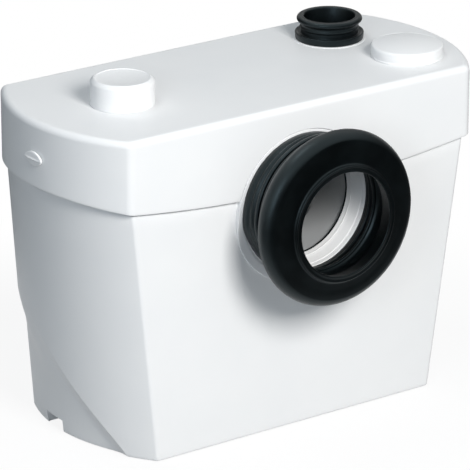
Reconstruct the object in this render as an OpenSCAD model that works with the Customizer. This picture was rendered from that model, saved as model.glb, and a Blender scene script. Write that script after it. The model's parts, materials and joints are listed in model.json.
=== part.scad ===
// Macerator toilet pump: a floor-standing tank with a lift-off lid, a rubber pan inlet at the front,
// a cutter drum and pump on one horizontal shaft, and a rubber outlet connector on top.
// Millimetres. X is the width, -Y the front, Z up. The origin is on the floor, under the middle of the lid.

/* [Lid] */
// Width of the lid across its bowed sides
lid_w = 378; // [356:1:400]
// Depth of the lid from the front face to the back face
lid_d = 171.6; // [166:0.2:184]
// Height of the lid's top face above the floor
lid_h = 265; // [258:1:280]
// Radius of the bowed sides of the lid, seen from above
side_r = 142; // [130:1:160]
// Place of the widest point of the lid's bowed sides, behind the middle
side_y = 3; // [0:0.5:6]
// Rounding of the lid's top edge
lid_edge_r = 5; // [2:0.5:8]
// Wall of the lid and the tank
wall = 3; // [2.4:0.1:4]
// Height of the lid's skirt at the middle of the front
skirt_h = 68; // [60:1:74]
// How much higher the skirt's lower edge lies at the bowed sides
seam_rise = 16; // [8:1:22]
// Shadow gap between the skirt's lower edge and the tank
seam_gap = 1.2; // [0.6:0.1:2]

/* [Tank] */
// How far the lid stands out past the tank's flank at the seam
flank_overhang = 8; // [6:0.5:10]
// How far the lid stands out past the tank's front at the seam
front_overhang = 3.4; // [2.6:0.1:5]
// How far the lid stands out past the tank's back
back_overhang = 0.8; // [0.4:0.1:2]
// Radius of the tank's bowed flanks
flank_r = 147; // [138:1:156]
// How far each flank draws in from the seam to the floor
flank_taper = 20; // [14:1:26]
// Place of the widest point of the flank at the seam, behind the middle
flank_y_top = 6; // [0:1:10]
// Place of the widest point of the flank at the floor, behind the middle
flank_y_foot = 17; // [10:1:22]
// How far the front leans in from the seam to the floor
front_taper = 6.4; // [3:0.2:10]
// Thickness of the tank's floor
floor_t = 4; // [3:0.5:6]
// Depth of the skirting-board step at the foot of the back
skirting_d = 10; // [6:0.5:14]
// Height of the upper end of the skirting-board step
skirting_h = 98; // [80:1:110]
// Height over which the step slopes back
skirting_slope = 23; // [12:1:30]
// Depth of the slanting flank recess at the floor
recess_d = 5; // [3:0.5:6]
// Height at which the flank recess fades out
recess_h = 95; // [80:1:110]
// Front end of the recess at the floor, ahead of the middle
recess_front = 55; // [45:1:62]
// Back end of the recess where it fades out, behind the middle
recess_back = 42; // [30:1:55]
// Width of the floor-fixing notch in each flank
notch_w = 24.4; // [16:0.4:30]
// Height of the floor-fixing notch
notch_h = 10; // [6:0.5:14]
// Place of the notch behind the middle
notch_y = 24.6; // [15:0.2:32]
// Depth of the notch
notch_d = 16; // [10:1:22]

/* [Inlet] */
// Height of the inlet's axis below the lid's top
inlet_drop = 78; // [74:1:82]
// Inside radius of the chute behind the inlet
chute_r = 46; // [42:0.5:47]
// Wall of the chute and the collar
chute_t = 3; // [2:0.2:3.4]
// How far the collar stands out of the front
collar_out = 10; // [8:0.5:14]
// Radius of the raised boss round the inlet
boss_r = 60; // [59:0.5:62.4]
// How far the boss stands proud of the lid's front
boss_out = 1.2; // [0.6:0.1:2]
// Radius of the rubber sleeve's mouth
mouth_r = 44.5; // [42:0.5:48]
// Outside radius of the sleeve's fat lip
lip_r = 69; // [66:0.5:72]
// Roundness of the fat lip
lip_tube_r = 9.5; // [7:0.5:11]
// Thickness of the sleeve's rubber wall
sleeve_t = 3.2; // [2.5:0.1:4]
// Length of the sleeve ahead of the collar flange
sleeve_len = 48.5; // [46:0.5:60]
// Number of bellows ribs round the sleeve
sleeve_ribs = 3; // [2:1:4]
// Roundness of one bellows rib
sleeve_rib_r = 2.4; // [1.6:0.1:2.8]

/* [Top fittings] */
// Place of the outlet inside the lid's right side
outlet_in = 78; // [70:1:84]
// Place of the outlet behind the middle
outlet_y = 34; // [30:1:38]
// Bore of the rubber outlet connector
outlet_r = 20.2; // [18:0.1:21]
// Height of the outlet connector above the lid
outlet_h = 19; // [14:1:24]
// Place of the vent cap inside the lid's left side
vent_in = 77; // [66:1:84]
// Place of the vent cap ahead of the middle
vent_front = 6.5; // [0:0.5:14]
// Outside radius of the vent cap
vent_r = 24; // [22:0.5:26]
// Height of the vent cap above the lid
vent_h = 20; // [14:1:24]
// Place of the blanking cap inside the lid's right side
blank_in = 55; // [48:1:60]
// Place of the blanking cap ahead of the middle
blank_front = 37; // [32:1:42]
// Outside radius of the blanking cap
blank_r = 28; // [25:0.5:30]
// Height of the blanking cap's rim above the lid
blank_h = 7; // [5:0.5:10]
// Rise of the blanking cap's dome
blank_dome = 2.5; // [1:0.5:4]

/* [Lid locks] */
// Place of each lid lock ahead of the middle
lock_front = 3; // [-20:1:20]
// Height of each lid lock below the lid's top
lock_drop = 29; // [26:1:36]
// Length of the lock's oval head
lock_len = 24; // [18:0.5:26]
// Width of the lock's oval head
lock_wide = 9.5; // [6:0.5:12]

/* [Drive] */
// Radius of the shaft
shaft_r = 6; // [5:0.5:7]
// Place of the shaft behind the middle
shaft_y = 5; // [2:1:8]
// Inside radius of the cutter drum
drum_r = 54; // [50:1:56]
// Outside width of the cutter drum
drum_w = 84; // [76:1:88]
// Wall of the cutter drum and its hopper
drum_t = 3; // [2:0.5:4]
// Gap between the drum and the tank floor
drum_lift = 5; // [3:0.5:8]
// Number of slot rows round the lower half of the drum
drum_slots = 9; // [5:1:11]
// Reach of the cutter blades
blade_r = 47; // [40:1:48]
// Radius of the motor can
motor_r = 44; // [40:1:46]
// Gap between the motor's end and the tank wall
motor_gap = 16; // [12:1:20]
// Radius of the impeller
impeller_r = 36; // [30:1:37]
// Inside radius of the pump chamber
pump_r = 40; // [39:0.5:42]
// Inside width of the pump chamber
pump_w = 24; // [24:0.5:28]
// Wall of the pump housing
pump_t = 3; // [2:0.5:4]
// Inside radius of the discharge pipe
pipe_r = 9.5; // [8:0.5:10]
// Wall of the discharge pipe
pipe_t = 2.5; // [2:0.1:2.5]

/* [Controls] */
// Place of the pressure bell ahead of the middle
bell_front = 54; // [52:0.5:55]
// Place of the pressure bell inside the lid's left side
bell_in = 77; // [66:1:84]
// Outside radius of the pressure bell
bell_r = 10; // [8:0.5:10]
// Outside radius of the pressure switch
switch_r = 20; // [17:0.5:21]
// Travel of the pressure switch plunger
switch_travel = 2.5; // [1.5:0.1:3]
// Radius of the capacitor
cap_r = 15; // [12:0.5:17]
// Length of the capacitor
cap_len = 66; // [50:1:76]
// Radius of the bore for the mains cord
cord_r = 4; // [3:0.1:5]

/* [Clearances] */
// Gap between parts that slide or lift past each other
slide_fit = 0.3; // [0.2:0.05:0.5]
// Radial gap of a running shaft
run_fit = 0.05; // [0.02:0.01:0.09]
// Radial gap of a part that is pressed or screwed on
press_fit = 0.02; // [0.01:0.01:0.05]

/* [Hidden] */
$fn = 128;
// Segments of the very large seam arc
seam_fn = 720;
// Overlap of one solid into another, so that cuts and unions are clean
eps = 0.5;
far = 400;

// Lid and rim
lid_cx = lid_w / 2 - side_r;
half_d = lid_d / 2;
seam_z = lid_h - skirt_h;
seam_r = (pow(lid_w / 2, 2) + pow(seam_rise, 2)) / (2 * seam_rise);
rim_gap_flank = 7.4;
rim_gap_front = 1;
rim_in_flank = wall + rim_gap_flank;
rim_in_front = wall + rim_gap_front;
rim_drop = 15;
rim_z = lid_h - rim_drop;
seal_t = 3.5;
ledge_t = 3;
// How far the rim's foot reaches below the ledge round it
rim_sink = 1;
rim_foot = seam_gap + ledge_t + rim_sink;
rim_foot_z = seam_z - rim_foot;
// How far inside the lid's outline its skirt ends and its top plate begins
plate_in = lid_edge_r + wall / 2;

// Tank flanks: a leaning cylinder on each side
flank_top = [lid_w / 2 - flank_overhang - flank_r, flank_y_top, seam_z];
flank_foot = [flank_top[0] - flank_taper, flank_y_foot, 0];
front_top_y = -(half_d - front_overhang);
front_foot_y = front_top_y + front_taper;
back_y = half_d - back_overhang;
foot_half_w = flank_foot[0] + flank_r;
// How far the side walls stop short of the inner faces of the front and the back
side_lap = 1;

// Inlet
inlet_z = lid_h - inlet_drop;
chute_out_r = chute_r + chute_t;
collar_bore_r = chute_out_r + slide_fit;
collar_t = chute_t + 0.4;
collar_out_r = collar_bore_r + collar_t;
collar_hole_r = collar_out_r + slide_fit;
boss_face = half_d + boss_out;
boss_back = half_d - rim_in_front - wall;
collar_face = half_d + collar_out;
collar_flange_t = 2.5;
collar_flange_w = 5;
collar_flange_r = collar_out_r + collar_flange_w;
collar_depth = 16;
collar_back = half_d - collar_depth;
collar_step = 1.5;
collar_flare = 4;
chute_face = half_d - 2.4;
chute_back = shaft_y + drum_r + 1;
sleeve_back = boss_face + collar_flange_t + slide_fit;
sleeve_front = sleeve_back + sleeve_len;
sleeve_in_r = collar_out_r + slide_fit;
sleeve_out_r = sleeve_in_r + sleeve_t;
sleeve_step_r = chute_r + collar_flare;
lip_z = sleeve_front - lip_tube_r - 3;
sleeve_rib_pitch = (lip_z - lip_tube_r - sleeve_back) / sleeve_ribs;

// Top fittings
outlet_x = lid_w / 2 - outlet_in;
vent_x = vent_in - lid_w / 2;
blank_x = lid_w / 2 - blank_in;
outlet_wall = 3;
outlet_neck_r = outlet_r + outlet_wall;
outlet_flange_r = outlet_r + 7.1;
outlet_lip_r = outlet_r + 5.7;
outlet_seat_r = outlet_flange_r + 2.4;
outlet_seat_t = 1.2;
outlet_foot_t = 3.5;
vent_chamfer = 2.7;
cage_r = vent_r - 3.8;
cage_t = 2.4;
cage_depth = 39;
cage_slot_w = 4;
cage_slot_foot = 8;
cage_slot_head = 10;
blank_neck_r = blank_r - 3.8;
blank_neck_h = 10;

// Lid locks
lock_z = lid_h - lock_drop;
lock_turn = asin((-lock_front - side_y) / side_r);
lock_shaft_r = 3;
lock_head_t = 1.8;
lock_cam = [3, 5, 14];
lug_room = 1.4;
lug = [rim_gap_flank - lug_room, 6, 3.5];
lug_gap = 0.8;

// Drum, shaft and hopper
drum_out_r = drum_r + drum_t;
shaft_z = floor_t + drum_lift + drum_out_r;
drum_x = drum_w / 2;
hub_r = shaft_r + 5;
hub_half = drum_x - drum_t - 3;
hopper_front = shaft_y - drum_r + 3;
hopper_back = shaft_y + drum_r - 1;
slot_w = 5;
slot_len = 31;
seal_r = 14;
seal_in = 4;
blade_t = 4;
blade_root = 15;
blade_tip = 11;
blade_x = 18;

// Motor, to the left of the drum
bearing_r = 16;
bearing_w = 9;
flange_t = 12;
flange_r = motor_r + 6;
motor_t = 2;
spigot_l = 4;
end_cap_t = 6;
tank_half_at_shaft = foot_half_w + flank_taper * shaft_z / seam_z - wall - recess_d;
motor_front = -drum_x - flange_t;
motor_end = -(tank_half_at_shaft - motor_gap);
can_back = motor_end + end_cap_t;
rear_bearing = can_back - end_cap_t / 2;
coil_room = 18;
stator_front = motor_front - coil_room;
stator_back = can_back + coil_room;
stator_in_r = motor_r * 0.6;
air_gap = 0.6;
cradle_half = motor_r - 2;
cradle_top = shaft_z - motor_r * 0.64;
strap_w = 14;
strap_t = 1.2;
strap_x = (motor_front + can_back) / 2;

// Pump, to the right of the drum
plate_t = 6;
pump_back = drum_x + plate_t;
pump_front = pump_back + pump_w;
cover_t = 4;
eye_r = 15;
bush_r = 10;
ear_r = 5.5;
ear_pcd_r = pump_r + pump_t + 3;
ear_angles = [110, 200, 290];
screw_r = 2;
screw_head_r = 3.6;
nut_x = pump_front - 4;
nut_t = 6;

// Discharge pipe and non-return valve
pipe_out_r = pipe_r + pipe_t;
pipe_x = (pump_back + pump_front) / 2;
socket_l = 12;
socket_r = pipe_out_r + 3;
socket_z = shaft_z + pump_r + pump_t + 1;
bend_r = (outlet_x - pipe_x) / 2;
bend_z = socket_z + socket_l + 3;
valve_z = bend_z + 2 * bend_r;
valve_r = 22;
valve_t = 3;
seat_z = valve_z + socket_l + 6;
valve_room = 34;
valve_top = seat_z + valve_room;
spigot_r = outlet_r + 0.8;
spigot_top = lid_h - wall + 0.5;
spigot_t = 3.4;
flap_r = 15.5;
flap_t = 3;
flap_lift = 1.3;
hinge_in = 17.5;
hinge_z = seat_z + 5;
hinge_pin_r = 1.5;
knuckle_r = 3.2;
knuckle_w = 12;
pin_half = 17;

// Controls, on a tray above the motor
tray_t = 3;
tray_z = shaft_z + flange_r + 8;
tray_top = tray_z + tray_t;
tray_x = -drum_x - 14;
tray_fit = 0.5;
ledge_w = 10;
ledge_h = 8;
ledge_left = 28;
bell_x = bell_in - lid_w / 2;
bell_y = -bell_front;
bell_t = 2;
nipple_r = 7;
nipple_up = 4;
base_h = 12;
cup_r = switch_r - 4;
film_t = 1.2;
film_z = tray_top + base_h;
cover_z = film_z + film_t;
cover_h = 12;
plunger_r = 4;
plunger_foot_t = 2;
plunger_h = 16;
cap_x = tray_x - cap_r - 8;
cap_y = 13;
cap_z = tray_top + cap_r + 3;
terminal_y = 26;
terminal_left = 30;
gland_right = 12;
gland_x = bell_x + gland_right;
gland_r = 7.9;
gland_flange_r = 11;
gland_flange_t = 3.5;
gland_nut_r = gland_flange_r + 1.5;
gland_nut_t = 4;
gland_in = 15;
gland_room = 11.5;
gland_drop = gland_nut_r + gland_room;
gland_z = seam_z - gland_drop;

// Local frames

// Local Z runs out of the inlet, towards the front
module at_inlet() translate([0, 0, inlet_z]) rotate([90, 0, 0]) children();

// Local Z runs along the shaft, towards the right
module at_shaft(x = 0) translate([x, shaft_y, shaft_z]) rotate([0, 90, 0]) children();

module at_outlet(z = 0) translate([outlet_x, outlet_y, z]) children();

// Local X points straight out of the lid's right side at the lock
module at_lock() {
    translate([lid_cx, side_y, lock_z]) rotate([0, 0, lock_turn]) translate([side_r, 0, 0]) children();
}

// Round tube along local Z
module tube(r_out, r_in, z0, z1) {
    difference() {
        translate([0, 0, z0]) cylinder(r = r_out, h = z1 - z0);
        translate([0, 0, z0 - eps]) cylinder(r = r_in, h = z1 - z0 + 2 * eps);
    }
}

// Upright prism of the lid's plan: two bowed sides, straight front and back
module plan_prism(in_side, in_front, z0, z1) {
    intersection() {
        union() {
            for (s = [-1, 1])
                translate([s * lid_cx, side_y, z0]) cylinder(r = side_r - in_side, h = z1 - z0);
        }
        translate([-far, in_front - half_d, z0 - eps])
            cube([2 * far, lid_d - 2 * in_front, z1 - z0 + 2 * eps]);
    }
}

// Upright ring that follows the lid's plan over the tank's rim
module rim_ring(z0, z1) {
    difference() {
        plan_prism(rim_in_flank, rim_in_front, z0, z1);
        plan_prism(rim_in_flank + wall, rim_in_front + wall, z0 - eps, z1 + eps);
    }
}

// Everything above the bowed seam line
module above_seam(extra) {
    translate([0, far, seam_z + seam_r]) rotate([90, 0, 0])
        cylinder(r = seam_r + extra, h = 2 * far, $fn = seam_fn);
}

// Profile in the YZ plane, drawn out over the whole width
module across() rotate([90, 0, 90]) linear_extrude(2 * far, center = true) children();

// Tank

// Leaning cylinder of the right flank; foot_in draws its foot in and leaves it as it was at recess_h
module flank(inset, foot_in) {
    foot = flank_foot - [foot_in, 0, 0];
    top = flank_top - [foot_in * (1 - seam_z / recess_h), 0, 0];
    lean = top - foot;
    translate(foot) rotate([0, acos(lean[2] / norm(lean)), atan2(lean[1], lean[0])])
        translate([0, 0, -lid_h / 2]) cylinder(r = flank_r - inset, h = 2 * lid_h);
}

// Both flanks, each on its own side of the middle
module flanks(inset, foot_in = 0) {
    for (m = [0, 1])
        mirror([m, 0, 0]) intersection() {
            flank(inset, foot_in);
            translate([-eps, -far, -far]) cube([2 * far, 2 * far, 2 * far]);
        }
}

// Place of the leaning front at a height
function front_y(z) = front_foot_y - front_taper * z / seam_z;

// Side view of the tank with the skirting-board step at the back
module tank_profile(inset, base) {
    low_y = back_y - skirting_d - inset;
    polygon([
        [front_y(base) + inset, base],
        [front_y(lid_h) + inset, lid_h],
        [back_y - inset, lid_h],
        [back_y - inset, skirting_h],
        [low_y, skirting_h - skirting_slope],
        [low_y, base]
    ]);
}

// Side view of the slanting recess in the lower rear of each flank
module recess_profile(inset) {
    slant = (recess_front + recess_back) / recess_h;
    polygon([
        [-recess_front - inset - slant * floor_t, -floor_t],
        [recess_back - inset, recess_h],
        [far, recess_h],
        [far, -floor_t]
    ]);
}

// Solid form of the tank, drawn in by a given wall
module tank_form(inset, base) {
    difference() {
        intersection() {
            flanks(inset);
            across() tank_profile(inset, base);
        }
        difference() {
            across() recess_profile(inset);
            flanks(inset, recess_d);
        }
    }
}

// Pocket for a floor bracket, with grow as the wall round it
module notch(grow) {
    for (m = [0, 1])
        mirror([m, 0, 0])
            translate([foot_half_w - recess_d - notch_d - grow, notch_y - notch_w / 2 - grow, -eps])
                cube([far, notch_w + 2 * grow, notch_h + grow + eps]);
}

// Room inside the rim's outer face, down to the rim's foot
module rim_room() {
    intersection() {
        plan_prism(rim_in_flank, rim_in_front, rim_foot_z - eps, lid_h);
        above_seam(rim_foot);
    }
}

module boss_hole(r) at_inlet() cylinder(r = r, h = far);

// Everything between the floor and a height
module below(z) translate([-far, -far, -eps]) cube([2 * far, 2 * far, z + eps]);

// Room inside the tank's walls, up to the underside of the ledge
module tank_room() {
    difference() {
        tank_form(wall, floor_t);
        above_seam(seam_gap + ledge_t);
    }
}

// All four walls of the tank, with the ledge under the seam
module tank_walls() {
    difference() {
        tank_form(0, 0);
        above_seam(seam_gap);
        tank_room();
        rim_room();
        below(floor_t);
        notch(wall);
    }
}

module tank_floor() {
    color("white") difference() {
        intersection() {
            tank_form(0, 0);
            below(floor_t);
        }
        notch(wall);
    }
}

module tank_front() {
    color("white") difference() {
        intersection() {
            tank_walls();
            translate([-far, -far, -eps]) cube([2 * far, far, far]);
        }
        across() tank_profile(wall + side_lap, -eps);
        boss_hole(boss_r);
    }
}

module tank_back() {
    color("white") difference() {
        intersection() {
            tank_walls();
            translate([-far, 0, -eps]) cube([2 * far, far, far]);
        }
        across() tank_profile(wall + side_lap, -eps);
        translate([gland_x, far, gland_z]) rotate([90, 0, 0]) cylinder(r = gland_r + slide_fit, h = far);
    }
}

module tank_side() {
    color("white") intersection() {
        tank_walls();
        across() tank_profile(wall + side_lap, -eps);
        translate([0, -far, -eps]) cube([far, 2 * far, far]);
    }
}

module tank_right() tank_side();

module tank_left() mirror([1, 0, 0]) tank_side();

// Rim that stands in the ledge and carries the seal
module tank_rim() {
    color("white") difference() {
        intersection() {
            rim_ring(rim_foot_z - eps, rim_z);
            above_seam(rim_foot);
        }
        boss_hole(boss_r);
    }
}

module inlet_boss() {
    color("white") at_inlet() tube(boss_r, collar_hole_r, boss_back, boss_face);
}

module fixing_pockets() {
    color("white") difference() {
        intersection() {
            tank_form(0, 0);
            notch(wall);
        }
        notch(0);
    }
}

// Ledges on the front and back walls that carry the control tray
module tray_ledges() {
    intersection() {
        tank_room();
        for (x = [tray_x - 2 * ledge_w, bell_x - ledge_left])
            translate([x, 0, tray_z - ledge_h])
                for (y = [-far + front_y(tray_z) + wall + ledge_w, back_y - wall - ledge_w])
                    translate([0, y, 0]) cube([ledge_w, far, ledge_h]);
    }
}

// One lug on each side of the rim that the turned lock cam catches under
module rim_lugs() {
    reach = lock_shaft_r + lug_gap / 2;
    difference() {
        for (m = [0, 1])
            mirror([m, 0, 0]) at_lock()
                translate([-rim_in_flank - wall / 2, m ? -reach - lug[1] : reach, lock_cam[1] / 2 + lug_gap])
                    cube([lug[0] + wall / 2, lug[1], lug[2]]);
        rim_room();
    }
}

module tank_lugs() {
    color("white") {
        tray_ledges();
        rim_lugs();
    }
}

// Inlet

module inlet_collar() {
    funnel_z = chute_face + 2 * slide_fit;
    color("white") at_inlet() difference() {
        union() {
            translate([0, 0, collar_back]) cylinder(r = collar_out_r, h = collar_face - collar_back);
            translate([0, 0, boss_face]) cylinder(r = collar_flange_r, h = collar_flange_t);
        }
        translate([0, 0, collar_back - eps])
            cylinder(r = collar_bore_r, h = chute_face + slide_fit - collar_back + eps);
        translate([0, 0, chute_face]) cylinder(r = chute_r + collar_step, h = far);
        translate([0, 0, funnel_z])
            cylinder(r1 = chute_r + collar_step, r2 = chute_r + collar_flare, h = collar_face - funnel_z);
        translate([0, 0, collar_face - eps]) cylinder(r = chute_r + collar_flare, h = far);
    }
}

// Half section of the rubber pan sleeve: neck, bellows ribs, fat lip and thin mouth rim
module sleeve_section() {
    rim_t = 2;
    face_z = lip_z + lip_tube_r - 2;
    groove_r = 7;
    seal_z = lip_z - 17;
    difference() {
        union() {
            translate([sleeve_in_r, sleeve_back]) square([sleeve_t, collar_face - sleeve_back + 2]);
            translate([sleeve_step_r, collar_face + slide_fit])
                square([sleeve_out_r - sleeve_step_r, lip_z - collar_face]);
            for (i = [0 : sleeve_ribs - 1])
                translate([sleeve_out_r, sleeve_back + sleeve_rib_pitch * (i + 0.5)])
                    circle(r = sleeve_rib_r);
            translate([lip_r - lip_tube_r, lip_z]) circle(r = lip_tube_r);
            translate([mouth_r, lip_z - 3]) square([lip_r - lip_tube_r - mouth_r, face_z - lip_z + 3]);
            translate([mouth_r, lip_z]) square([rim_t, sleeve_front - rim_t / 2 - lip_z]);
            translate([mouth_r + rim_t / 2, sleeve_front - rim_t / 2]) circle(r = rim_t / 2);
            translate([mouth_r + 2, seal_z]) square([sleeve_out_r - mouth_r - 4, 3]);
            translate([mouth_r + 2, seal_z + 1.5]) circle(r = 1.5);
        }
        translate([(mouth_r + rim_t + lip_r - lip_tube_r) / 2, face_z + groove_r - 1]) circle(r = groove_r);
    }
}

module inlet_sleeve() {
    color("#1c1e20") at_inlet() rotate_extrude() sleeve_section();
}

module inlet_chute() {
    gap = drum_t + eps;
    color("gainsboro") difference() {
        at_inlet() translate([0, 0, -chute_back]) cylinder(r = chute_out_r, h = chute_face + chute_back);
        at_inlet() translate([0, 0, chute_t - chute_back]) cylinder(r = chute_r, h = far);
        translate([gap - drum_x, hopper_front + gap, -chute_r * 0.45])
            cube([drum_w - 2 * gap, hopper_back - hopper_front - 2 * gap, inlet_z]);
    }
}

// Cutter drum

// Slots through the lower half of the drum, in two columns
module drum_slot_rows() {
    spread = 72;
    for (i = [0 : drum_slots - 1], side = [-1, 1])
        at_shaft(side * (slot_len / 2 + 3) - slot_len / 2)
            rotate([0, 0, spread * (2 * i / (drum_slots - 1) - 1)])
                translate([drum_r - drum_t, -slot_w / 2, 0]) cube([3 * drum_t, slot_w, slot_len]);
}

// Drum with its hopper, whole
module drum_form() {
    difference() {
        union() {
            at_shaft(-drum_x) cylinder(r = drum_out_r, h = drum_w);
            translate([-drum_x, hopper_front, shaft_z])
                cube([drum_w, hopper_back - hopper_front, inlet_z - shaft_z]);
        }
        at_shaft(drum_t - drum_x) cylinder(r = drum_r, h = drum_w - 2 * drum_t);
        translate([drum_t - drum_x, hopper_front + drum_t, shaft_z])
            cube([drum_w - 2 * drum_t, hopper_back - hopper_front - 2 * drum_t, far]);
        at_inlet() translate([0, 0, -far]) cylinder(r = chute_out_r + slide_fit, h = 2 * far);
        at_shaft(-drum_x - eps) cylinder(r = seal_r + press_fit, h = drum_t + 2 * eps);
        at_shaft(drum_x - drum_t - eps) cylinder(r = shaft_r + 2, h = drum_t + 2 * eps);
    }
}

// Lower half of the drum: slotted trough on two feet
module cutter_drum() {
    foot_w = 44;
    foot_h = drum_lift + drum_t + 5;
    color("lightgray") difference() {
        union() {
            intersection() {
                drum_form();
                below(shaft_z);
            }
            for (x = [-drum_x, drum_x - drum_t])
                translate([x, shaft_y - foot_w / 2, floor_t]) cube([drum_t, foot_w, foot_h]);
        }
        drum_slot_rows();
    }
}

// Upper half of the drum and the walls that rise to the chute
module hopper() {
    color("lightgray") difference() {
        drum_form();
        below(shaft_z);
    }
}

// Motor

module motor_flange() {
    back = motor_front - spigot_l;
    color("dimgray") at_shaft() difference() {
        union() {
            translate([0, 0, motor_front]) cylinder(r = flange_r, h = flange_t);
            translate([0, 0, back]) cylinder(r = motor_r - motor_t - press_fit, h = spigot_l + eps);
        }
        translate([0, 0, back - eps]) cylinder(r = bearing_r + press_fit, h = bearing_w + eps);
        translate([0, 0, back - eps]) cylinder(r = shaft_r + 1, h = far);
        translate([0, 0, -drum_x - seal_in]) cylinder(r = seal_r + press_fit, h = far);
    }
}

module motor_can() {
    color("silver") at_shaft() tube(motor_r, motor_r - motor_t, can_back, motor_front);
}

module motor_end_cap() {
    color("dimgray") at_shaft() difference() {
        union() {
            translate([0, 0, motor_end]) cylinder(r = motor_r, h = end_cap_t);
            translate([0, 0, can_back - eps])
                cylinder(r = motor_r - motor_t - press_fit, h = end_cap_t + eps);
        }
        translate([0, 0, rear_bearing]) cylinder(r = bearing_r + press_fit, h = far);
    }
}

module stator_core() {
    color("slategray") at_shaft()
        tube(motor_r - motor_t - press_fit, stator_in_r, stator_back, stator_front);
}

// Copper coil heads at both ends of the stator
module stator_windings() {
    head_r = 5;
    mid_r = (stator_in_r + motor_r) / 2;
    color("peru") at_shaft()
        for (end = [0, 1])
            translate([0, 0, end ? stator_front : stator_back]) mirror([0, 0, 1 - end])
                rotate_extrude() {
                    translate([mid_r - head_r, 0]) square([2 * head_r, head_r]);
                    translate([mid_r, head_r]) circle(r = head_r);
                }
}

module motor_bearings() {
    color("silver") at_shaft()
        for (z = [motor_front - spigot_l, rear_bearing])
            difference() {
                tube(bearing_r, shaft_r + run_fit, z, z + bearing_w);
                tube(bearing_r - 3, shaft_r + 3, z + bearing_w - 0.8, z + bearing_w + eps);
            }
}

module shaft_seal() {
    color("#26282a") at_shaft() difference() {
        tube(seal_r, shaft_r + run_fit, -drum_x - seal_in, drum_t - drum_x);
        tube(seal_r - 3, shaft_r + 2.4, drum_t - drum_x - 2, drum_t - drum_x + eps);
    }
}

module motor_cradle() {
    length = 44;
    color("dimgray") difference() {
        translate([strap_x - length / 2, shaft_y - cradle_half, floor_t])
            cube([length, 2 * cradle_half, cradle_top - floor_t]);
        at_shaft(-far) cylinder(r = motor_r + press_fit, h = 2 * far);
        for (s = [-1, 1])
            translate([strap_x - far, shaft_y + s * cradle_half * 0.62 - 7, floor_t + 6])
                cube([2 * far, 14, cradle_top - floor_t - 16]);
    }
}

// Steel band that holds the motor down on its cradle
module motor_strap() {
    color("silver") difference() {
        union() {
            at_shaft(strap_x - strap_w / 2) cylinder(r = motor_r + strap_t, h = strap_w);
            translate([strap_x - strap_w / 2, shaft_y - cradle_half, cradle_top])
                cube([strap_w, 2 * cradle_half, strap_t]);
        }
        at_shaft(-far) cylinder(r = motor_r + press_fit, h = 2 * far);
        translate([-far, -far, cradle_top - far]) cube([2 * far, 2 * far, far]);
    }
}

// Pump

// Screw ears round the pump, in the shaft's frame
module pump_ears(r, z0, z1) {
    for (a = ear_angles)
        rotate([0, 0, 90 - a]) translate([0, ear_pcd_r, z0]) cylinder(r = r, h = z1 - z0);
}

module pump_housing() {
    color("gray") difference() {
        union() {
            at_shaft(drum_x) cylinder(r = pump_r + pump_t, h = pump_front - drum_x);
            at_shaft() pump_ears(ear_r, drum_x, pump_front);
            translate([pipe_x, outlet_y, shaft_z]) cylinder(r = pipe_out_r, h = socket_z + eps - shaft_z);
            translate([pipe_x, outlet_y, socket_z - 2]) cylinder(r = socket_r, h = socket_l + 2);
        }
        at_shaft(pump_back) cylinder(r = pump_r, h = far);
        at_shaft(drum_x - eps) cylinder(r = bush_r + press_fit, h = plate_t + 2 * eps);
        at_shaft() pump_ears(screw_r + press_fit, pump_back, far);
        translate([pipe_x, outlet_y, shaft_z]) cylinder(r = pipe_r, h = far);
        translate([pipe_x, outlet_y, socket_z]) cylinder(r = pipe_out_r + run_fit, h = far);
    }
}

module pump_bush() {
    color("#8a6a3a") at_shaft() tube(bush_r, shaft_r + run_fit, drum_x, pump_back);
}

module pump_cover() {
    snout = 6;
    color("gray") at_shaft() difference() {
        union() {
            translate([0, 0, pump_front]) cylinder(r = pump_r + pump_t, h = cover_t);
            translate([0, 0, pump_front]) cylinder(r = eye_r + pump_t, h = cover_t + snout);
            pump_ears(ear_r, pump_front, pump_front + cover_t);
        }
        translate([0, 0, pump_front - eps]) cylinder(r = eye_r, h = far);
        pump_ears(screw_r + press_fit, pump_front - eps, far);
    }
}

module pump_screws() {
    depth = 14;
    top = pump_front + cover_t;
    color("silver") at_shaft() {
        pump_ears(screw_r, top - depth, top + eps);
        pump_ears(screw_head_r, top, top + 3);
    }
}

// Discharge pipe and non-return valve

// Upright start, two quarter bends and upright end, as a bar of radius r
module pipe_run(r, extra) {
    translate([pipe_x, outlet_y, socket_z - extra]) cylinder(r = r, h = bend_z - socket_z + extra);
    translate([pipe_x + bend_r, outlet_y, bend_z]) rotate([90, 0, 0]) rotate([0, 0, 90])
        rotate_extrude(angle = 90) translate([bend_r, 0]) circle(r = r);
    translate([pipe_x + bend_r, outlet_y, valve_z]) rotate([90, 0, 0]) rotate([0, 0, -90])
        rotate_extrude(angle = 90) translate([bend_r, 0]) circle(r = r);
    at_outlet(valve_z) cylinder(r = r, h = socket_l + extra);
}

module discharge_pipe() {
    color("gray") difference() {
        pipe_run(pipe_out_r, 0);
        pipe_run(pipe_r, eps);
    }
}

module hinge_line(r, half) {
    at_outlet(hinge_z) translate([-hinge_in, half, 0]) rotate([90, 0, 0]) cylinder(r = r, h = 2 * half);
}

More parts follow.
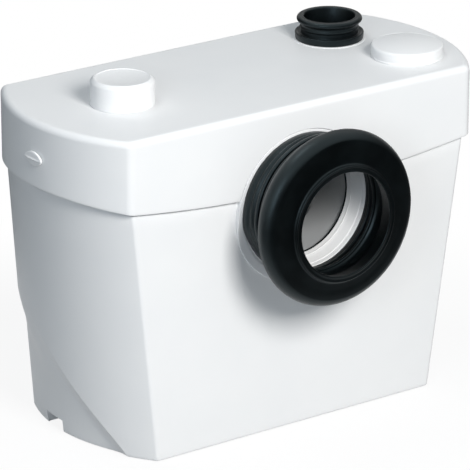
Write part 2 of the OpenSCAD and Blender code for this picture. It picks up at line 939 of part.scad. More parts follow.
module valve_body() {
    color("gray") difference() {
        at_outlet() {
            translate([0, 0, valve_z]) cylinder(r = socket_r, h = seat_z - valve_z);
            translate([0, 0, seat_z - valve_t])
                cylinder(r = valve_r + valve_t, h = valve_top - seat_z + 2 * valve_t);
            translate([0, 0, valve_top]) cylinder(r = spigot_r, h = spigot_top - valve_top);
        }
        at_outlet() {
            translate([0, 0, valve_z - eps]) cylinder(r = pipe_out_r + run_fit, h = socket_l + eps);
            translate([0, 0, valve_z]) cylinder(r = pipe_r, h = valve_top - valve_z);
            difference() {
                translate([0, 0, seat_z]) cylinder(r = valve_r, h = valve_top - seat_z);
                tube(pipe_r + 3, pipe_r, seat_z - eps, seat_z + 1);
            }
            translate([0, 0, valve_top - eps]) cylinder(r = spigot_r - spigot_t, h = far);
        }
        hinge_line(hinge_pin_r + press_fit, valve_r + 2 * valve_t);
    }
}

module valve_pin() {
    color("silver") hinge_line(hinge_pin_r, pin_half);
}

module valve_flap() {
    arm = 11;
    color("#2b2d30") difference() {
        union() {
            at_outlet(seat_z + flap_lift) cylinder(r = flap_r, h = flap_t);
            at_outlet(seat_z + flap_lift + 1) translate([-hinge_in, -knuckle_w / 2 + 1, 0])
                cube([arm, knuckle_w - 2, flap_t + 1]);
            hinge_line(knuckle_r, knuckle_w / 2);
        }
        hinge_line(hinge_pin_r + run_fit, knuckle_w);
    }
}

// Controls

module control_tray() {
    color("whitesmoke") difference() {
        intersection() {
            tank_form(wall + tray_fit, 0);
            translate([-far, -far, tray_z]) cube([far + tray_x, 2 * far, tray_t]);
        }
        translate([bell_x, bell_y, tray_z - eps]) cylinder(r = nipple_r + slide_fit, h = tray_t + 2 * eps);
    }
}

// Open-ended tube that traps air as the water rises
module pressure_bell() {
    open_z = floor_t + 10;
    flange = 3;
    color("whitesmoke") translate([bell_x, bell_y, 0]) difference() {
        union() {
            translate([0, 0, open_z]) cylinder(r = bell_r, h = tray_z - open_z);
            translate([0, 0, tray_z - flange]) cylinder(r = bell_r + 4, h = flange);
            translate([0, 0, tray_z - eps]) cylinder(r = nipple_r, h = tray_t + nipple_up + eps);
        }
        translate([0, 0, open_z - eps])
            cylinder(r = bell_r - bell_t, h = tray_z - 2 * flange - open_z + eps);
        translate([0, 0, open_z]) cylinder(r = nipple_r * 0.4, h = far);
    }
}

module switch_base() {
    color("#3a3d40") translate([bell_x, bell_y, tray_top]) difference() {
        cylinder(r = switch_r, h = base_h);
        translate([0, 0, -eps]) cylinder(r = nipple_r + press_fit, h = base_h);
        translate([0, 0, nipple_up]) cylinder(r = cup_r, h = base_h);
    }
}

module switch_membrane() {
    fold_r = 1;
    color("#202224") translate([bell_x, bell_y, film_z]) rotate_extrude() {
        square([switch_r, film_t]);
        translate([cup_r - 3 * fold_r, film_t]) circle(r = fold_r);
    }
}

module switch_cover() {
    color("#3a3d40") translate([bell_x, bell_y, cover_z]) difference() {
        cylinder(r = switch_r, h = cover_h);
        translate([0, 0, -eps]) cylinder(r = cup_r, h = cover_h - 3 + eps);
        cylinder(r = plunger_r + run_fit, h = far);
    }
}

module switch_plunger() {
    color("gold") translate([bell_x, bell_y, cover_z + slide_fit]) {
        cylinder(r = cup_r - 7, h = plunger_foot_t);
        cylinder(r = plunger_r, h = plunger_h);
    }
}

module microswitch() {
    body = [12.5, 10, 12];
    lever_t = 0.8;
    lever_z = slide_fit + plunger_h + switch_travel + 0.5;
    color("#15171a") translate([bell_x, bell_y, cover_z]) {
        translate([plunger_r + 1, -body[1] / 2, cover_h]) cube(body);
        translate([-plunger_r - 1, -2, lever_z]) cube([2 * plunger_r + 4, 4, lever_t]);
    }
}

module capacitor() {
    color("gainsboro") translate([cap_x, cap_y, cap_z]) rotate([90, 0, 0]) {
        translate([0, 0, -cap_len / 2]) cylinder(r = cap_r, h = cap_len);
        translate([0, 0, cap_len / 2 - eps]) cylinder(r = cap_r - 1.5, h = 2 + eps);
        for (s = [-1, 1])
            translate([s * 5 - 3, -0.4, cap_len / 2]) cube([6, 0.8, 10]);
    }
}

module capacitor_saddle() {
    length = 40;
    color("#3a3d40") difference() {
        translate([cap_x - cap_r - 2, cap_y - length / 2, tray_top])
            cube([2 * cap_r + 4, length, cap_z - tray_top - 4]);
        translate([cap_x, far, cap_z]) rotate([90, 0, 0]) cylinder(r = cap_r + press_fit, h = 2 * far);
    }
}

module terminal_block() {
    pitch = 9;
    ways = 5;
    rim = 1.5;
    base_t = 4;
    block = [16, pitch * ways + 2 * rim, 14];
    corner = [bell_x - terminal_left - block[0] / 2, terminal_y - block[1] / 2, tray_top];
    color("ivory") translate(corner) difference() {
        cube(block);
        for (i = [0 : ways - 1])
            translate([0, rim + pitch * (i + 0.5), base_t]) {
                translate([block[0] / 2, 0, 0]) cylinder(r = 2.6, h = far);
                translate([-eps, -2, 0]) cube([block[0] + 2 * eps, 4, 4]);
            }
    }
}

// Local Z runs out of the tank's back
module at_gland() translate([gland_x, back_y, gland_z]) rotate([-90, 0, 0]) children();

module cable_gland() {
    color("#2a2c2e") at_gland() difference() {
        union() {
            translate([0, 0, -gland_in]) cylinder(r = gland_r, h = gland_in + eps);
            cylinder(r = gland_flange_r, h = gland_flange_t);
        }
        translate([0, 0, -far]) cylinder(r = cord_r, h = 2 * far);
    }
}

module gland_nut() {
    color("#2a2c2e") at_gland() difference() {
        translate([0, 0, -wall - gland_nut_t]) cylinder(r = gland_nut_r, h = gland_nut_t, $fn = 6);
        translate([0, 0, -far]) cylinder(r = gland_r + press_fit, h = 2 * far);
    }
}

module rim_seal() {
    color("#26282a") rim_ring(rim_z, rim_z + seal_t);
}

// Rotor

module shaft() {
    color("silver") at_shaft(rear_bearing + slide_fit)
        cylinder(r = shaft_r, h = nut_x + nut_t + 1 - rear_bearing);
}

module rotor_core() {
    ring_t = 3;
    color("lightslategray") at_shaft()
        tube(stator_in_r - air_gap, shaft_r + press_fit, stator_back - ring_t, stator_front + ring_t);
}

module cutter_hub() {
    color("silver") at_shaft() tube(hub_r, shaft_r + press_fit, -hub_half, hub_half);
}

// Swept two-armed blade, flat side along the shaft
module blade_outline() {
    sweep = 2.5;
    intersection() {
        polygon([
            [-blade_r, sweep - blade_tip / 2],
            [0, -blade_root / 2],
            [blade_r, -sweep - blade_tip / 2],
            [blade_r, blade_tip / 2 - sweep],
            [0, blade_root / 2],
            [-blade_r, blade_tip / 2 + sweep]
        ]);
        circle(r = blade_r);
    }
    circle(r = hub_r + 5);
}

module cutter_blades() {
    color("lightsteelblue") at_shaft()
        for (s = [-1, 1])
            translate([0, 0, s * blade_x - blade_t / 2]) rotate([0, 0, 45 * s]) difference() {
                linear_extrude(blade_t) blade_outline();
                translate([0, 0, -eps]) cylinder(r = hub_r + press_fit, h = blade_t + 2 * eps);
            }
}

// One backward-curved vane, cut from a ring that stands off the shaft
module vane(z0, z1) {
    ring_r = 21;
    ring_off = 17;
    half_t = 1.1;
    intersection() {
        translate([ring_off, 0, 0]) tube(ring_r + half_t, ring_r - half_t, z0, z1);
        translate([0, 0, z0]) cylinder(r = impeller_r - 1, h = z1 - z0);
        translate([-hub_r / 3, 0, z0]) cube([2 * far, far, z1 - z0]);
    }
}

module impeller() {
    vanes = 6;
    plate = 2.5;
    back = pump_back + 2;
    color("#d8c9a0") at_shaft() difference() {
        union() {
            translate([0, 0, back]) cylinder(r = impeller_r, h = plate);
            translate([0, 0, back]) cylinder(r = hub_r, h = nut_x - back);
            for (i = [0 : vanes - 1])
                rotate([0, 0, 360 / vanes * i]) vane(back + plate - eps, nut_x - 1);
        }
        translate([0, 0, back - eps]) cylinder(r = shaft_r + press_fit, h = far);
    }
}

module impeller_nut() {
    color("silver") at_shaft() difference() {
        translate([0, 0, nut_x]) cylinder(r = hub_r, h = nut_t, $fn = 6);
        translate([0, 0, nut_x - eps]) cylinder(r = shaft_r + press_fit, h = far);
    }
}

// Lid

// Half profile with one rounded top corner
module rounded_top(half, top, edge) {
    foot = seam_z - 2 * lid_edge_r;
    translate([0, foot]) square([half - edge, top - foot]);
    translate([0, foot]) square([half, top - edge - foot]);
    translate([half - edge, top - edge]) circle(r = edge);
}

// Solid form of the lid, drawn in by a given wall
module lid_form(inset) {
    edge = max(lid_edge_r - inset, 1);
    intersection() {
        union() {
            for (s = [-1, 1])
                translate([s * lid_cx, side_y, 0]) rotate_extrude()
                    rounded_top(side_r - inset, lid_h - inset, edge);
        }
        across() union() {
            for (m = [0, 1])
                mirror([m, 0]) rounded_top(half_d - inset, lid_h - inset, edge);
        }
    }
}

// Whole shell of the lid with the seat and the holes of its fittings
module lid_shell() {
    difference() {
        union() {
            difference() {
                intersection() {
                    lid_form(0);
                    above_seam(0);
                }
                lid_form(wall);
            }
            at_outlet(lid_h - eps) cylinder(r = outlet_seat_r, h = outlet_seat_t + eps);
        }
        at_outlet(lid_h - 2 * wall) cylinder(r = outlet_neck_r + slide_fit, h = 4 * wall);
        translate([vent_x, -vent_front, lid_h - 2 * wall]) cylinder(r = cage_r + slide_fit, h = 4 * wall);
        translate([blank_x, -blank_front, lid_h - 2 * wall])
            cylinder(r = blank_neck_r + slide_fit, h = 4 * wall);
        at_inlet() translate([0, 0, half_d - 2 * wall]) cylinder(r = boss_r + 2 * slide_fit, h = far);
        for (m = [0, 1])
            mirror([m, 0, 0]) at_lock() translate([-2 * wall, 0, 0]) rotate([0, 90, 0])
                cylinder(r = lock_shaft_r + run_fit, h = 4 * wall);
    }
}

// Room inside the skirt, from the floor to above the lid
module plate_room() plan_prism(plate_in, plate_in, -eps, lid_h + 2 * wall);

// Top plate of the lid
module lid() {
    color("white") intersection() {
        lid_shell();
        plate_room();
    }
}

// Skirt of the lid with the rounded top edge
module lid_skirt() {
    color("white") difference() {
        lid_shell();
        plate_room();
    }
}

// Ring under the lid that presses on the seal
module lid_guide() {
    color("white") intersection() {
        rim_ring(rim_z + seal_t + slide_fit, lid_h);
        lid_form(wall);
    }
}

module vent_cap() {
    skin = 2.4;
    color("white") translate([vent_x, -vent_front, lid_h]) difference() {
        union() {
            cylinder(r = vent_r, h = vent_h - vent_chamfer);
            translate([0, 0, vent_h - vent_chamfer])
                cylinder(r1 = vent_r, r2 = vent_r - vent_chamfer, h = vent_chamfer);
        }
        translate([0, 0, -eps]) cylinder(r = vent_r - skin, h = vent_h - vent_chamfer - skin + eps);
    }
}

// Slotted cup that hangs in the lid and holds the filter
module filter_cage() {
    slots = 8;
    color("whitesmoke") translate([vent_x, -vent_front, lid_h]) difference() {
        union() {
            translate([0, 0, -cage_depth]) cylinder(r = cage_r, h = cage_depth + eps);
            cylinder(r = vent_r - 2.4 - slide_fit, h = 2);
        }
        translate([0, 0, cage_t - cage_depth]) cylinder(r = cage_r - cage_t, h = far);
        for (i = [0 : slots - 1])
            rotate([0, 0, 360 / slots * i])
                translate([cage_r - 2 * cage_t, -cage_slot_w / 2, cage_slot_foot - cage_depth])
                    cube([3 * cage_t, cage_slot_w, cage_depth - cage_slot_foot - cage_slot_head]);
    }
}

module charcoal_filter() {
    color("#303336") translate([vent_x, -vent_front, lid_h + cage_t - cage_depth])
        cylinder(r = cage_r - cage_t - slide_fit, h = cage_depth - cage_slot_foot);
}

module blanking_cap() {
    dome_r = (pow(blank_r, 2) + pow(blank_dome, 2)) / (2 * blank_dome);
    color("white") translate([blank_x, -blank_front, lid_h]) {
        cylinder(r = blank_r, h = blank_h);
        intersection() {
            translate([0, 0, blank_h + blank_dome - dome_r]) sphere(r = dome_r, $fn = seam_fn);
            cylinder(r = blank_r, h = blank_h + blank_dome);
        }
        tube(blank_neck_r, blank_neck_r - 2.5, -blank_neck_h, eps);
    }
}

// Half section of the rubber outlet connector: foot under the lid, flange on it, waist and top lip
module outlet_section() {
    seat = lid_h + outlet_seat_t;
    top = lid_h + outlet_h;
    under = lid_h - wall;
    flange_h = 4;
    lip_h = 5;
    difference() {
        union() {
            translate([outlet_r, under - outlet_foot_t]) square([outlet_wall, top - under + outlet_foot_t]);
            translate([outlet_r, under - outlet_foot_t]) square([outlet_wall + 2.2, outlet_foot_t]);
            translate([outlet_r, seat]) square([outlet_flange_r - outlet_r, flange_h / 2]);
            translate([outlet_flange_r - flange_h / 2, seat + flange_h / 2]) circle(r = flange_h / 2);
            translate([outlet_r, seat]) square([outlet_flange_r - flange_h / 2 - outlet_r, flange_h]);
            translate([outlet_lip_r - lip_h / 2, top - lip_h / 2]) circle(r = lip_h / 2);
            translate([outlet_r, top - lip_h]) square([outlet_lip_r - lip_h / 2 - outlet_r, lip_h]);
        }
        translate([outlet_r, top]) rotate(45) square(1.8, center = true);
        square([spigot_r + slide_fit, spigot_top + slide_fit]);
    }
}

module outlet_connector() {
    color("#1c1e20") at_outlet() rotate_extrude() outlet_section();
}

// Disc of the lock's head, off the lock's axis by dz
module lock_arc(r, dz) {
    translate([slide_fit, 0, dz]) rotate([0, 90, 0]) cylinder(r = r, h = lock_head_t);
}

// Oval head outside the skirt, shaft through it and an upright cam inside
module lid_lock() {
    cam_x = -wall - 2 * slide_fit - lock_cam[0];
    arc_r = (pow(lock_len, 2) + pow(lock_wide, 2)) / (4 * lock_wide);
    color("white") at_lock() {
        translate([cam_x, 0, 0]) rotate([0, 90, 0]) cylinder(r = lock_shaft_r, h = slide_fit + eps - cam_x);
        translate([cam_x, -lock_cam[1] / 2, -lock_cam[2] / 2]) cube(lock_cam);
        intersection() {
            lock_arc(arc_r, lock_wide / 2 - arc_r);
            lock_arc(arc_r, arc_r - lock_wide / 2);
        }
        translate([slide_fit, -lock_len * 0.36, -0.8]) cube([lock_head_t + 1, lock_len * 0.72, 1.6]);
    }
}

module lock_right() lid_lock();

module lock_left() mirror([1, 0, 0]) lid_lock();

tank_floor();
tank_front();
tank_back();
tank_left();
tank_right();
tank_rim();
inlet_boss();
fixing_pockets();
tank_lugs();
inlet_collar();
inlet_sleeve();
inlet_chute();
cutter_drum();
hopper();
motor_flange();
motor_can();
motor_end_cap();
stator_core();
stator_windings();
motor_bearings();
shaft_seal();
motor_cradle();
motor_strap();
pump_housing();
pump_bush();
pump_cover();
pump_screws();
discharge_pipe();
valve_body();
valve_pin();
control_tray();
pressure_bell();
switch_base();
switch_membrane();
switch_cover();
microswitch();
capacitor();
capacitor_saddle();
terminal_block();
cable_gland();
gland_nut();
rim_seal();
shaft();
rotor_core();
cutter_hub();
cutter_blades();
impeller();
impeller_nut();
valve_flap();
switch_plunger();
lid();
lid_skirt();
lid_guide();
vent_cap();
filter_cage();
charcoal_filter();
blanking_cap();
outlet_connector();
lock_left();
lock_right();
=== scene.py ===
import json
import math

import bmesh
import bpy
from mathutils import Matrix, Vector


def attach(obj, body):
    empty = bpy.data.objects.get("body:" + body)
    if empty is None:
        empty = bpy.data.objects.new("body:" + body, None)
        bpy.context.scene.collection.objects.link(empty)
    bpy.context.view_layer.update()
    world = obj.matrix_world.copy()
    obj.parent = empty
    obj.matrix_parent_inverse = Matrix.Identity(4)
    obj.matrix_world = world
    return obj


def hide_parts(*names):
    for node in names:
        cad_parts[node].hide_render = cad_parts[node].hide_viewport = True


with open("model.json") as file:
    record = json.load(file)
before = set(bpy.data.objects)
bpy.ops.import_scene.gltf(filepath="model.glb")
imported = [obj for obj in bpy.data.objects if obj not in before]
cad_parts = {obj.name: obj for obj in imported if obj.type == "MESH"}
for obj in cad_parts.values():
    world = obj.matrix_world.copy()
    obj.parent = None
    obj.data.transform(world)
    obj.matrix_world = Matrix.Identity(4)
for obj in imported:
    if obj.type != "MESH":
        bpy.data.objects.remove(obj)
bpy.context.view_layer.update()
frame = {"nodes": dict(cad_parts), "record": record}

# Sizes of the unit in millimetres: X is the width, -Y the front, Z up from the floor
MM = 0.001
TAU = 2 * math.pi
MERGE = 0.0005
WALL = 3.0

# Lid, its bowed seam with the tank, and the rim and seal inside it
LID_TOP = 265.0
LID_HALF_DEPTH = 85.8
LID_HALF_WIDTH = 189.0
LID_BOW_R = 142.0
LID_BOW = (LID_HALF_WIDTH - LID_BOW_R, 3.0)
LID_EDGE_R = 5.0
LID_CORNER_R = 8.0
SEAM_Z = 197.0
SEAM_RISE = 16.0
SEAM_R = (LID_HALF_WIDTH ** 2 + SEAM_RISE ** 2) / (2 * SEAM_RISE)
SEAM_GAP = 1.2
LEDGE_T = 3.0
RIM_IN_FLANK = 10.4
RIM_IN_FRONT = 4.0
RIM_Z = 250.0
SEAL_T = 3.5

# Tank: flanks that lean from foot to top; its rings follow the seam above STRETCH_FROM
FLOOR_T = 4.0
FLANK_R = 147.0
FLANK_FOOT = (14.0, 17.0)
FLANK_TOP = (34.0, 6.0)
LEAN = (FLANK_TOP[0] - FLANK_FOOT[0], FLANK_TOP[1] - FLANK_FOOT[1])
LEAN_TILT = math.atan(math.hypot(*LEAN) / SEAM_Z)
LEAN_GROWTH = 1 / math.cos(LEAN_TILT) - 1
LEAN_TURN = -math.atan2(LEAN[1], LEAN[0])
FRONT_FOOT = -76.0
FRONT_TOP = -82.4
BACK_Y = 85.0
TANK_CORNER_R = 4.0
TANK_BACK_R = 5.0
STRETCH_FROM = 110.0

# Step for a skirting board, and the slanting recess in the flank
SKIRTING_DEPTH = 10.0
SKIRTING_LOW = 82.0
SKIRTING_HIGH = 98.0
RECESS_TOP = 95.0
RECESS_FRONT = -55.0
RECESS_BACK = 42.0
RECESS_CURVE = 1.2
RECESS_DEPTH = 5.0
RECESS_FILLET = 13.0
RECESS_FILLET_CURVE = 2.4
RECESS_REAR = 4.2
RECESS_REAR_FROM = 14.0
RECESS_REAR_TO = 44.0
RECESS_FULL_X = 60.0

# Floor-fixing notches
NOTCH_X = 140.0
NOTCH_Y = (12.4, 36.8)
NOTCH_HIGH = 10.0
POCKET_DEEP = 13.5

# Inlet: boss, neck and sleeve; the lower half of boss and heel draws back towards the tank
INLET_Z = 187.0
INLET_HOLE_R = 53.0
BOSS_R = 61.2
BOSS_Z = INLET_Z - 4.3
BOSS_BACK = 79.0
BOSS_FACE = 86.1
BOSS_FADE = 4.2
NECK_DROP = 2.8
HEEL_TAPER = 4.5
LOWER_FROM = INLET_Z - 2.0
LOWER_TO = INLET_Z - 28.0

# Fittings
OUTLET = (111.0, 34.0)
OUTLET_HOLE_R = 23.5
VENT = (-112.0, -6.5)
VENT_HOLE_R = 20.5
BLANK = (134.0, -37.0)
BLANK_HOLE_R = 24.5
GLAND = (-100.0, 173.0)
GLAND_HOLE_R = 8.2
LOCK_Z = 236.0
LOCK_Y = -3.0


# Finishes

class Wire:
    """A value on its way through a finish; sums on it add Math nodes."""

    def __init__(self, studio, socket):
        self.studio = studio
        self.socket = socket

    def sum(self, operation, first, second):
        return self.studio.node("ShaderNodeMath", {"operation": operation}, {0: first, 1: second})

    def __add__(self, other):
        return self.sum("ADD", self, other)

    def __radd__(self, other):
        return self.sum("ADD", other, self)

    def __sub__(self, other):
        return self.sum("SUBTRACT", self, other)

    def __rsub__(self, other):
        return self.sum("SUBTRACT", other, self)

    def __mul__(self, other):
        return self.sum("MULTIPLY", self, other)

    def __rmul__(self, other):
        return self.sum("MULTIPLY", other, self)


class Studio:
    """Nodes of a world or a material."""

    def __init__(self, tree):
        self.tree = tree

    def node(self, kind, settings=None, inputs=None, out=0):
        made = self.tree.nodes.new(kind)
        for key, value in (settings or {}).items():
            if key == "stops":
                for stop, position in zip(made.color_ramp.elements, value):
                    stop.position = position
            else:
                setattr(made, key, value)
        for key, value in (inputs or {}).items():
            if isinstance(value, Wire):
                self.tree.links.new(value.socket, made.inputs[key])
            else:
                made.inputs[key].default_value = value
        return Wire(self, made.outputs[out])

    def rays(self, name):
        return self.node("ShaderNodeLightPath", out=name)

    def mirrored(self):
        """One for rays that come off a gloss or through a clear part."""
        return self.rays("Is Glossy Ray") + self.rays("Is Transmission Ray")

    def faded(self, value, start, end):
        """Nought at the start, one at the end, smooth between; the end can be the lesser."""
        return self.node("ShaderNodeMapRange", {"interpolation_type": "SMOOTHSTEP"},
                         {"Value": value, "From Min": start, "From Max": end})

    def show(self, wire, output):
        self.tree.links.new(wire.socket, self.tree.nodes[output].inputs["Surface"])


class Finish(Studio):
    """One procedural material; constants go straight onto the shader's sockets."""

    def __init__(self, name, **constants):
        self.material = bpy.data.materials.new(name)
        self.material.use_nodes = True
        super().__init__(self.material.node_tree)
        self.shader = self.tree.nodes["Principled BSDF"]
        for socket, value in constants.items():
            self.shader.inputs[socket.replace("_", " ")].default_value = value
        self.place = self.node("ShaderNodeTexCoord", out="Object")

    def stretched(self, x, y, z):
        return self.node("ShaderNodeMapping", None, {"Vector": self.place, "Scale": (x, y, z)})

    def noise(self, scale, detail=2.0, roughness=0.5, place=None):
        return self.node("ShaderNodeTexNoise", None,
                         {"Vector": place or self.place, "Scale": scale,
                          "Detail": detail, "Roughness": roughness})

    def ramp(self, value, black, white):
        return self.node("ShaderNodeValToRGB", {"stops": (black, white)}, {"Fac": value})

    def tint(self, low, high, share):
        return self.node("ShaderNodeMix", {"data_type": "RGBA"},
                         {0: share, 6: (*low, 1.0), 7: (*high, 1.0)}, out=2)

    def bump(self, height, strength, depth):
        return self.node("ShaderNodeBump", None,
                         {"Height": height, "Strength": strength, "Distance": depth})

    def done(self, **links):
        for socket, wire in links.items():
            self.tree.links.new(wire.socket, self.shader.inputs[socket.replace("_", " ")])
        return self.material


def moulded(name, low, high, gloss, grain, depth, **constants):
    """Moulded plastic: faint cloudiness, fine spark-eroded grain and an uneven gloss."""
    finish = Finish(name, **constants)
    cloud = finish.noise(16.0, detail=3.0)
    rub = finish.noise(70.0, detail=4.0, roughness=0.6)
    tooth = finish.noise(grain, roughness=0.6)
    return finish.done(Base_Color=finish.tint(low, high, finish.ramp(cloud, 0.3, 0.7)),
                       Roughness=gloss + 0.10 * (rub - 0.5) + 0.05 * (tooth - 0.5),
                       Normal=finish.bump(tooth, 0.35, depth))


def rubber():
    """Black rubber with a thin grey bloom, fine skin and a soft uneven sheen."""
    finish = Finish("black_rubber", Specular_IOR_Level=0.42,
                    Specular_Tint=(0.72, 0.93, 1.0, 1.0))
    bloom = finish.ramp(finish.noise(38.0, detail=5.0, roughness=0.65), 0.42, 0.78)
    skin = finish.noise(1500.0, detail=3.0, roughness=0.6)
    streak = finish.noise(26.0, detail=3.0, place=finish.stretched(1.0, 5.0, 1.0))
    low, high = (0.0006, 0.0009, 0.0011), (0.0022, 0.0034, 0.0039)
    return finish.done(Base_Color=finish.tint(low, high, bloom),
                       Roughness=0.38 + 0.08 * bloom + 0.08 * (streak - 0.5),
                       Normal=finish.bump(skin, 0.3, 0.00012))


def brushed_steel():
    """Turned and brushed steel: fine lines round the shaft and a few dull patches."""
    finish = Finish("steel", Metallic=1.0)
    lines = finish.noise(300.0, detail=3.0, roughness=0.6,
                         place=finish.stretched(14.0, 1.0, 1.0))
    dull = finish.ramp(finish.noise(45.0, detail=4.0), 0.4, 0.8)
    clean, worn = (0.56, 0.57, 0.585), (0.42, 0.425, 0.43)
    return finish.done(Base_Color=finish.tint(clean, worn, dull),
                       Roughness=0.24 + 0.16 * lines + 0.14 * dull,
                       Normal=finish.bump(lines, 0.18, 0.00015))


def stacked_steel():
    """Edges of stacked steel sheets along the motor's shaft."""
    finish = Finish("core_steel", Metallic=0.85)
    sheets = finish.node("ShaderNodeTexWave", {"wave_type": "BANDS", "bands_direction": "X"},
                         {"Vector": finish.place, "Scale": 300.0, "Distortion": 0.0}, out="Fac")
    stain = finish.noise(60.0, detail=4.0)
    low, high = (0.10, 0.105, 0.115), (0.24, 0.245, 0.26)
    return finish.done(Base_Color=finish.tint(low, high, 0.6 * sheets + 0.3 * stain),
                       Roughness=0.45 + 0.2 * stain,
                       Normal=finish.bump(sheets, 0.5, 0.0003))


def wound_copper():
    """Varnished copper wire, laid side by side round the coil heads."""
    finish = Finish("copper", Metallic=0.9, Coat_Weight=0.3, Coat_Roughness=0.2)
    turns = finish.node("ShaderNodeTexWave", {"wave_type": "RINGS", "rings_direction": "X"},
                        {"Vector": finish.place, "Scale": 190.0, "Distortion": 1.5,
                         "Detail": 1.0}, out="Fac")
    tone = finish.noise(90.0, detail=3.0)
    low, high = (0.30, 0.11, 0.045), (0.66, 0.30, 0.13)
    return finish.done(Base_Color=finish.tint(low, high, 0.55 * turns + 0.45 * tone),
                       Roughness=0.28 + 0.2 * tone,
                       Normal=finish.bump(turns, 0.8, 0.0006))


def cast_bronze():
    """Machined bronze with fine cut lines and darker tarnish."""
    finish = Finish("bronze", Metallic=1.0)
    cut = finish.noise(260.0, detail=3.0, roughness=0.6, place=finish.stretched(9.0, 1.0, 1.0))
    tarnish = finish.ramp(finish.noise(110.0, detail=4.0), 0.4, 0.75)
    clean, dark = (0.56, 0.39, 0.16), (0.33, 0.22, 0.10)
    return finish.done(Base_Color=finish.tint(clean, dark, tarnish),
                       Roughness=0.26 + 0.22 * tarnish,
                       Normal=finish.bump(cut, 0.2, 0.0002))


def packed_charcoal():
    """Granules of charcoal pressed into a block."""
    finish = Finish("charcoal", Specular_IOR_Level=0.3)
    grains = finish.node("ShaderNodeTexVoronoi", None,
                         {"Vector": finish.place, "Scale": 520.0}, out="Distance")
    tone = finish.noise(240.0, detail=3.0)
    low, high = (0.010, 0.010, 0.011), (0.060, 0.060, 0.062)
    return finish.done(Base_Color=finish.tint(low, high, tone),
                       Roughness=0.7 + 0.2 * tone,
                       Normal=finish.bump(grains, 0.9, 0.0012))


FINISHES = {
    "white_shell": moulded("white_shell", (0.815, 0.82, 0.825), (0.84, 0.842, 0.843),
                           0.42, 2300.0, 0.00006, Specular_IOR_Level=0.2),
    "pale_plastic": moulded("pale_plastic", (0.47, 0.485, 0.495), (0.52, 0.53, 0.535),
                            0.46, 1700.0, 0.0001),
    "grey_plastic": moulded("grey_plastic", (0.20, 0.21, 0.22), (0.26, 0.268, 0.275),
                            0.5, 1500.0, 0.00015),
    "dark_plastic": moulded("dark_plastic", (0.028, 0.029, 0.031), (0.042, 0.043, 0.046),
                            0.48, 1400.0, 0.00015),
    "ivory_plastic": moulded("ivory_plastic", (0.66, 0.59, 0.43), (0.72, 0.655, 0.50),
                             0.42, 1600.0, 0.0001),
    "black_rubber": rubber(),
    "steel": brushed_steel(),
    "core_steel": stacked_steel(),
    "copper": wound_copper(),
    "bronze": cast_bronze(),
    "charcoal": packed_charcoal(),
}


# Making of pieces

def finish_piece(name, bm, slot, body, nodes=(), sharp=32.0, carve=()):
    """Turns a mesh in millimetres into a piece: carved, in metres, shaded, painted, riding."""
    bmesh.ops.remove_doubles(bm, verts=bm.verts, dist=MERGE)
    bmesh.ops.recalc_face_normals(bm, faces=bm.faces)
    mesh = bpy.data.meshes.new(name)
    bm.to_mesh(mesh)
    bm.free()
    piece = bpy.data.objects.new(name, mesh)
    bpy.context.scene.collection.objects.link(piece)
    for operation, tool in carve:
        carve_with(piece, operation, tool)
    mesh = piece.data
    mesh.transform(Matrix.Scale(MM, 4))
    mesh.polygons.foreach_set("use_smooth", [True] * len(mesh.polygons))
    mesh.set_sharp_from_angle(angle=math.radians(sharp))
    mesh.materials.clear()
    mesh.materials.append(FINISHES[slot])
    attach(piece, body)
    if nodes:
        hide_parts(*nodes)


def carve_with(piece, operation, tool):
    """Joins a tool solid to the piece or cuts it away."""
    bmesh.ops.recalc_face_normals(tool, faces=tool.faces)
    mesh = bpy.data.meshes.new("tool")
    tool.to_mesh(mesh)
    tool.free()
    cutter = bpy.data.objects.new("tool", mesh)
    bpy.context.scene.collection.objects.link(cutter)
    modifier = piece.modifiers.new("carve", "BOOLEAN")
    modifier.operation = operation
    modifier.object = cutter
    modifier.solver = "EXACT"
    graph = bpy.context.evaluated_depsgraph_get()
    carved = bpy.data.meshes.new_from_object(piece.evaluated_get(graph))
    piece.modifiers.clear()
    whole = piece.data
    piece.data = carved
    bpy.data.meshes.remove(whole)
    bpy.data.objects.remove(cutter)
    bpy.data.meshes.remove(mesh)


def add_bar(bm, start, end, radius, segments=96):
    """Solid round bar between two points."""
    start, end = Vector(start), Vector(end)
    turn = (end - start).to_track_quat("Z", "Y").to_matrix().to_4x4()
    place = Matrix.Translation((start + end) / 2) @ turn
    bmesh.ops.create_cone(bm, cap_ends=True, segments=segments, radius1=radius, radius2=radius,
                          depth=(end - start).length, matrix=place)


def add_block(bm, low, high):
    """Solid block between its low and its high corner."""
    low, high = Vector(low), Vector(high)
    size = high - low
    place = Matrix.Translation((low + high) / 2) @ Matrix.Diagonal((*size, 1.0))
    return bmesh.ops.create_cube(bm, size=1.0, matrix=place)["verts"]


def arc(x, y, r, start, end, steps):
    """Points on an arc, angles in degrees."""
    turn = [math.radians(start + (end - start) * i / steps) for i in range(steps + 1)]
    return [(x + r * math.cos(a), y + r * math.sin(a)) for a in turn]


def quarter(r, steps):
    """Insets and drops of a rounded edge, from its upright side to its flat side."""
    turns = [math.radians(90 * i / steps) for i in range(steps + 1)]
    return [(r * (1 - math.cos(a)), r * (1 - math.sin(a))) for a in turns]


def flowing(points, steps):
    """Smooth curve through the points."""
    ends = [points[0], *points, points[-1]]
    curve = []
    for a, b, c, d in zip(ends, ends[1:], ends[2:], ends[3:]):
        for i in range(steps):
            t = i / steps
            curve.append(tuple(0.5 * (2 * q + (r - p) * t + (2 * p - 5 * q + 4 * r - s) * t * t
                                      + (3 * q - p - 3 * r + s) * t ** 3)
                               for p, q, r, s in zip(a, b, c, d)))
    return curve + [points[-1]]


def share_of(value, start, end):
    """Share of the way from the start to the end, held between nought and one."""
    return min(max((value - start) / (end - start), 0.0), 1.0)


def eased(value, start, end):
    """The same share, smooth at both ends."""
    share = share_of(value, start, end)
    return share * share * (3 - 2 * share)


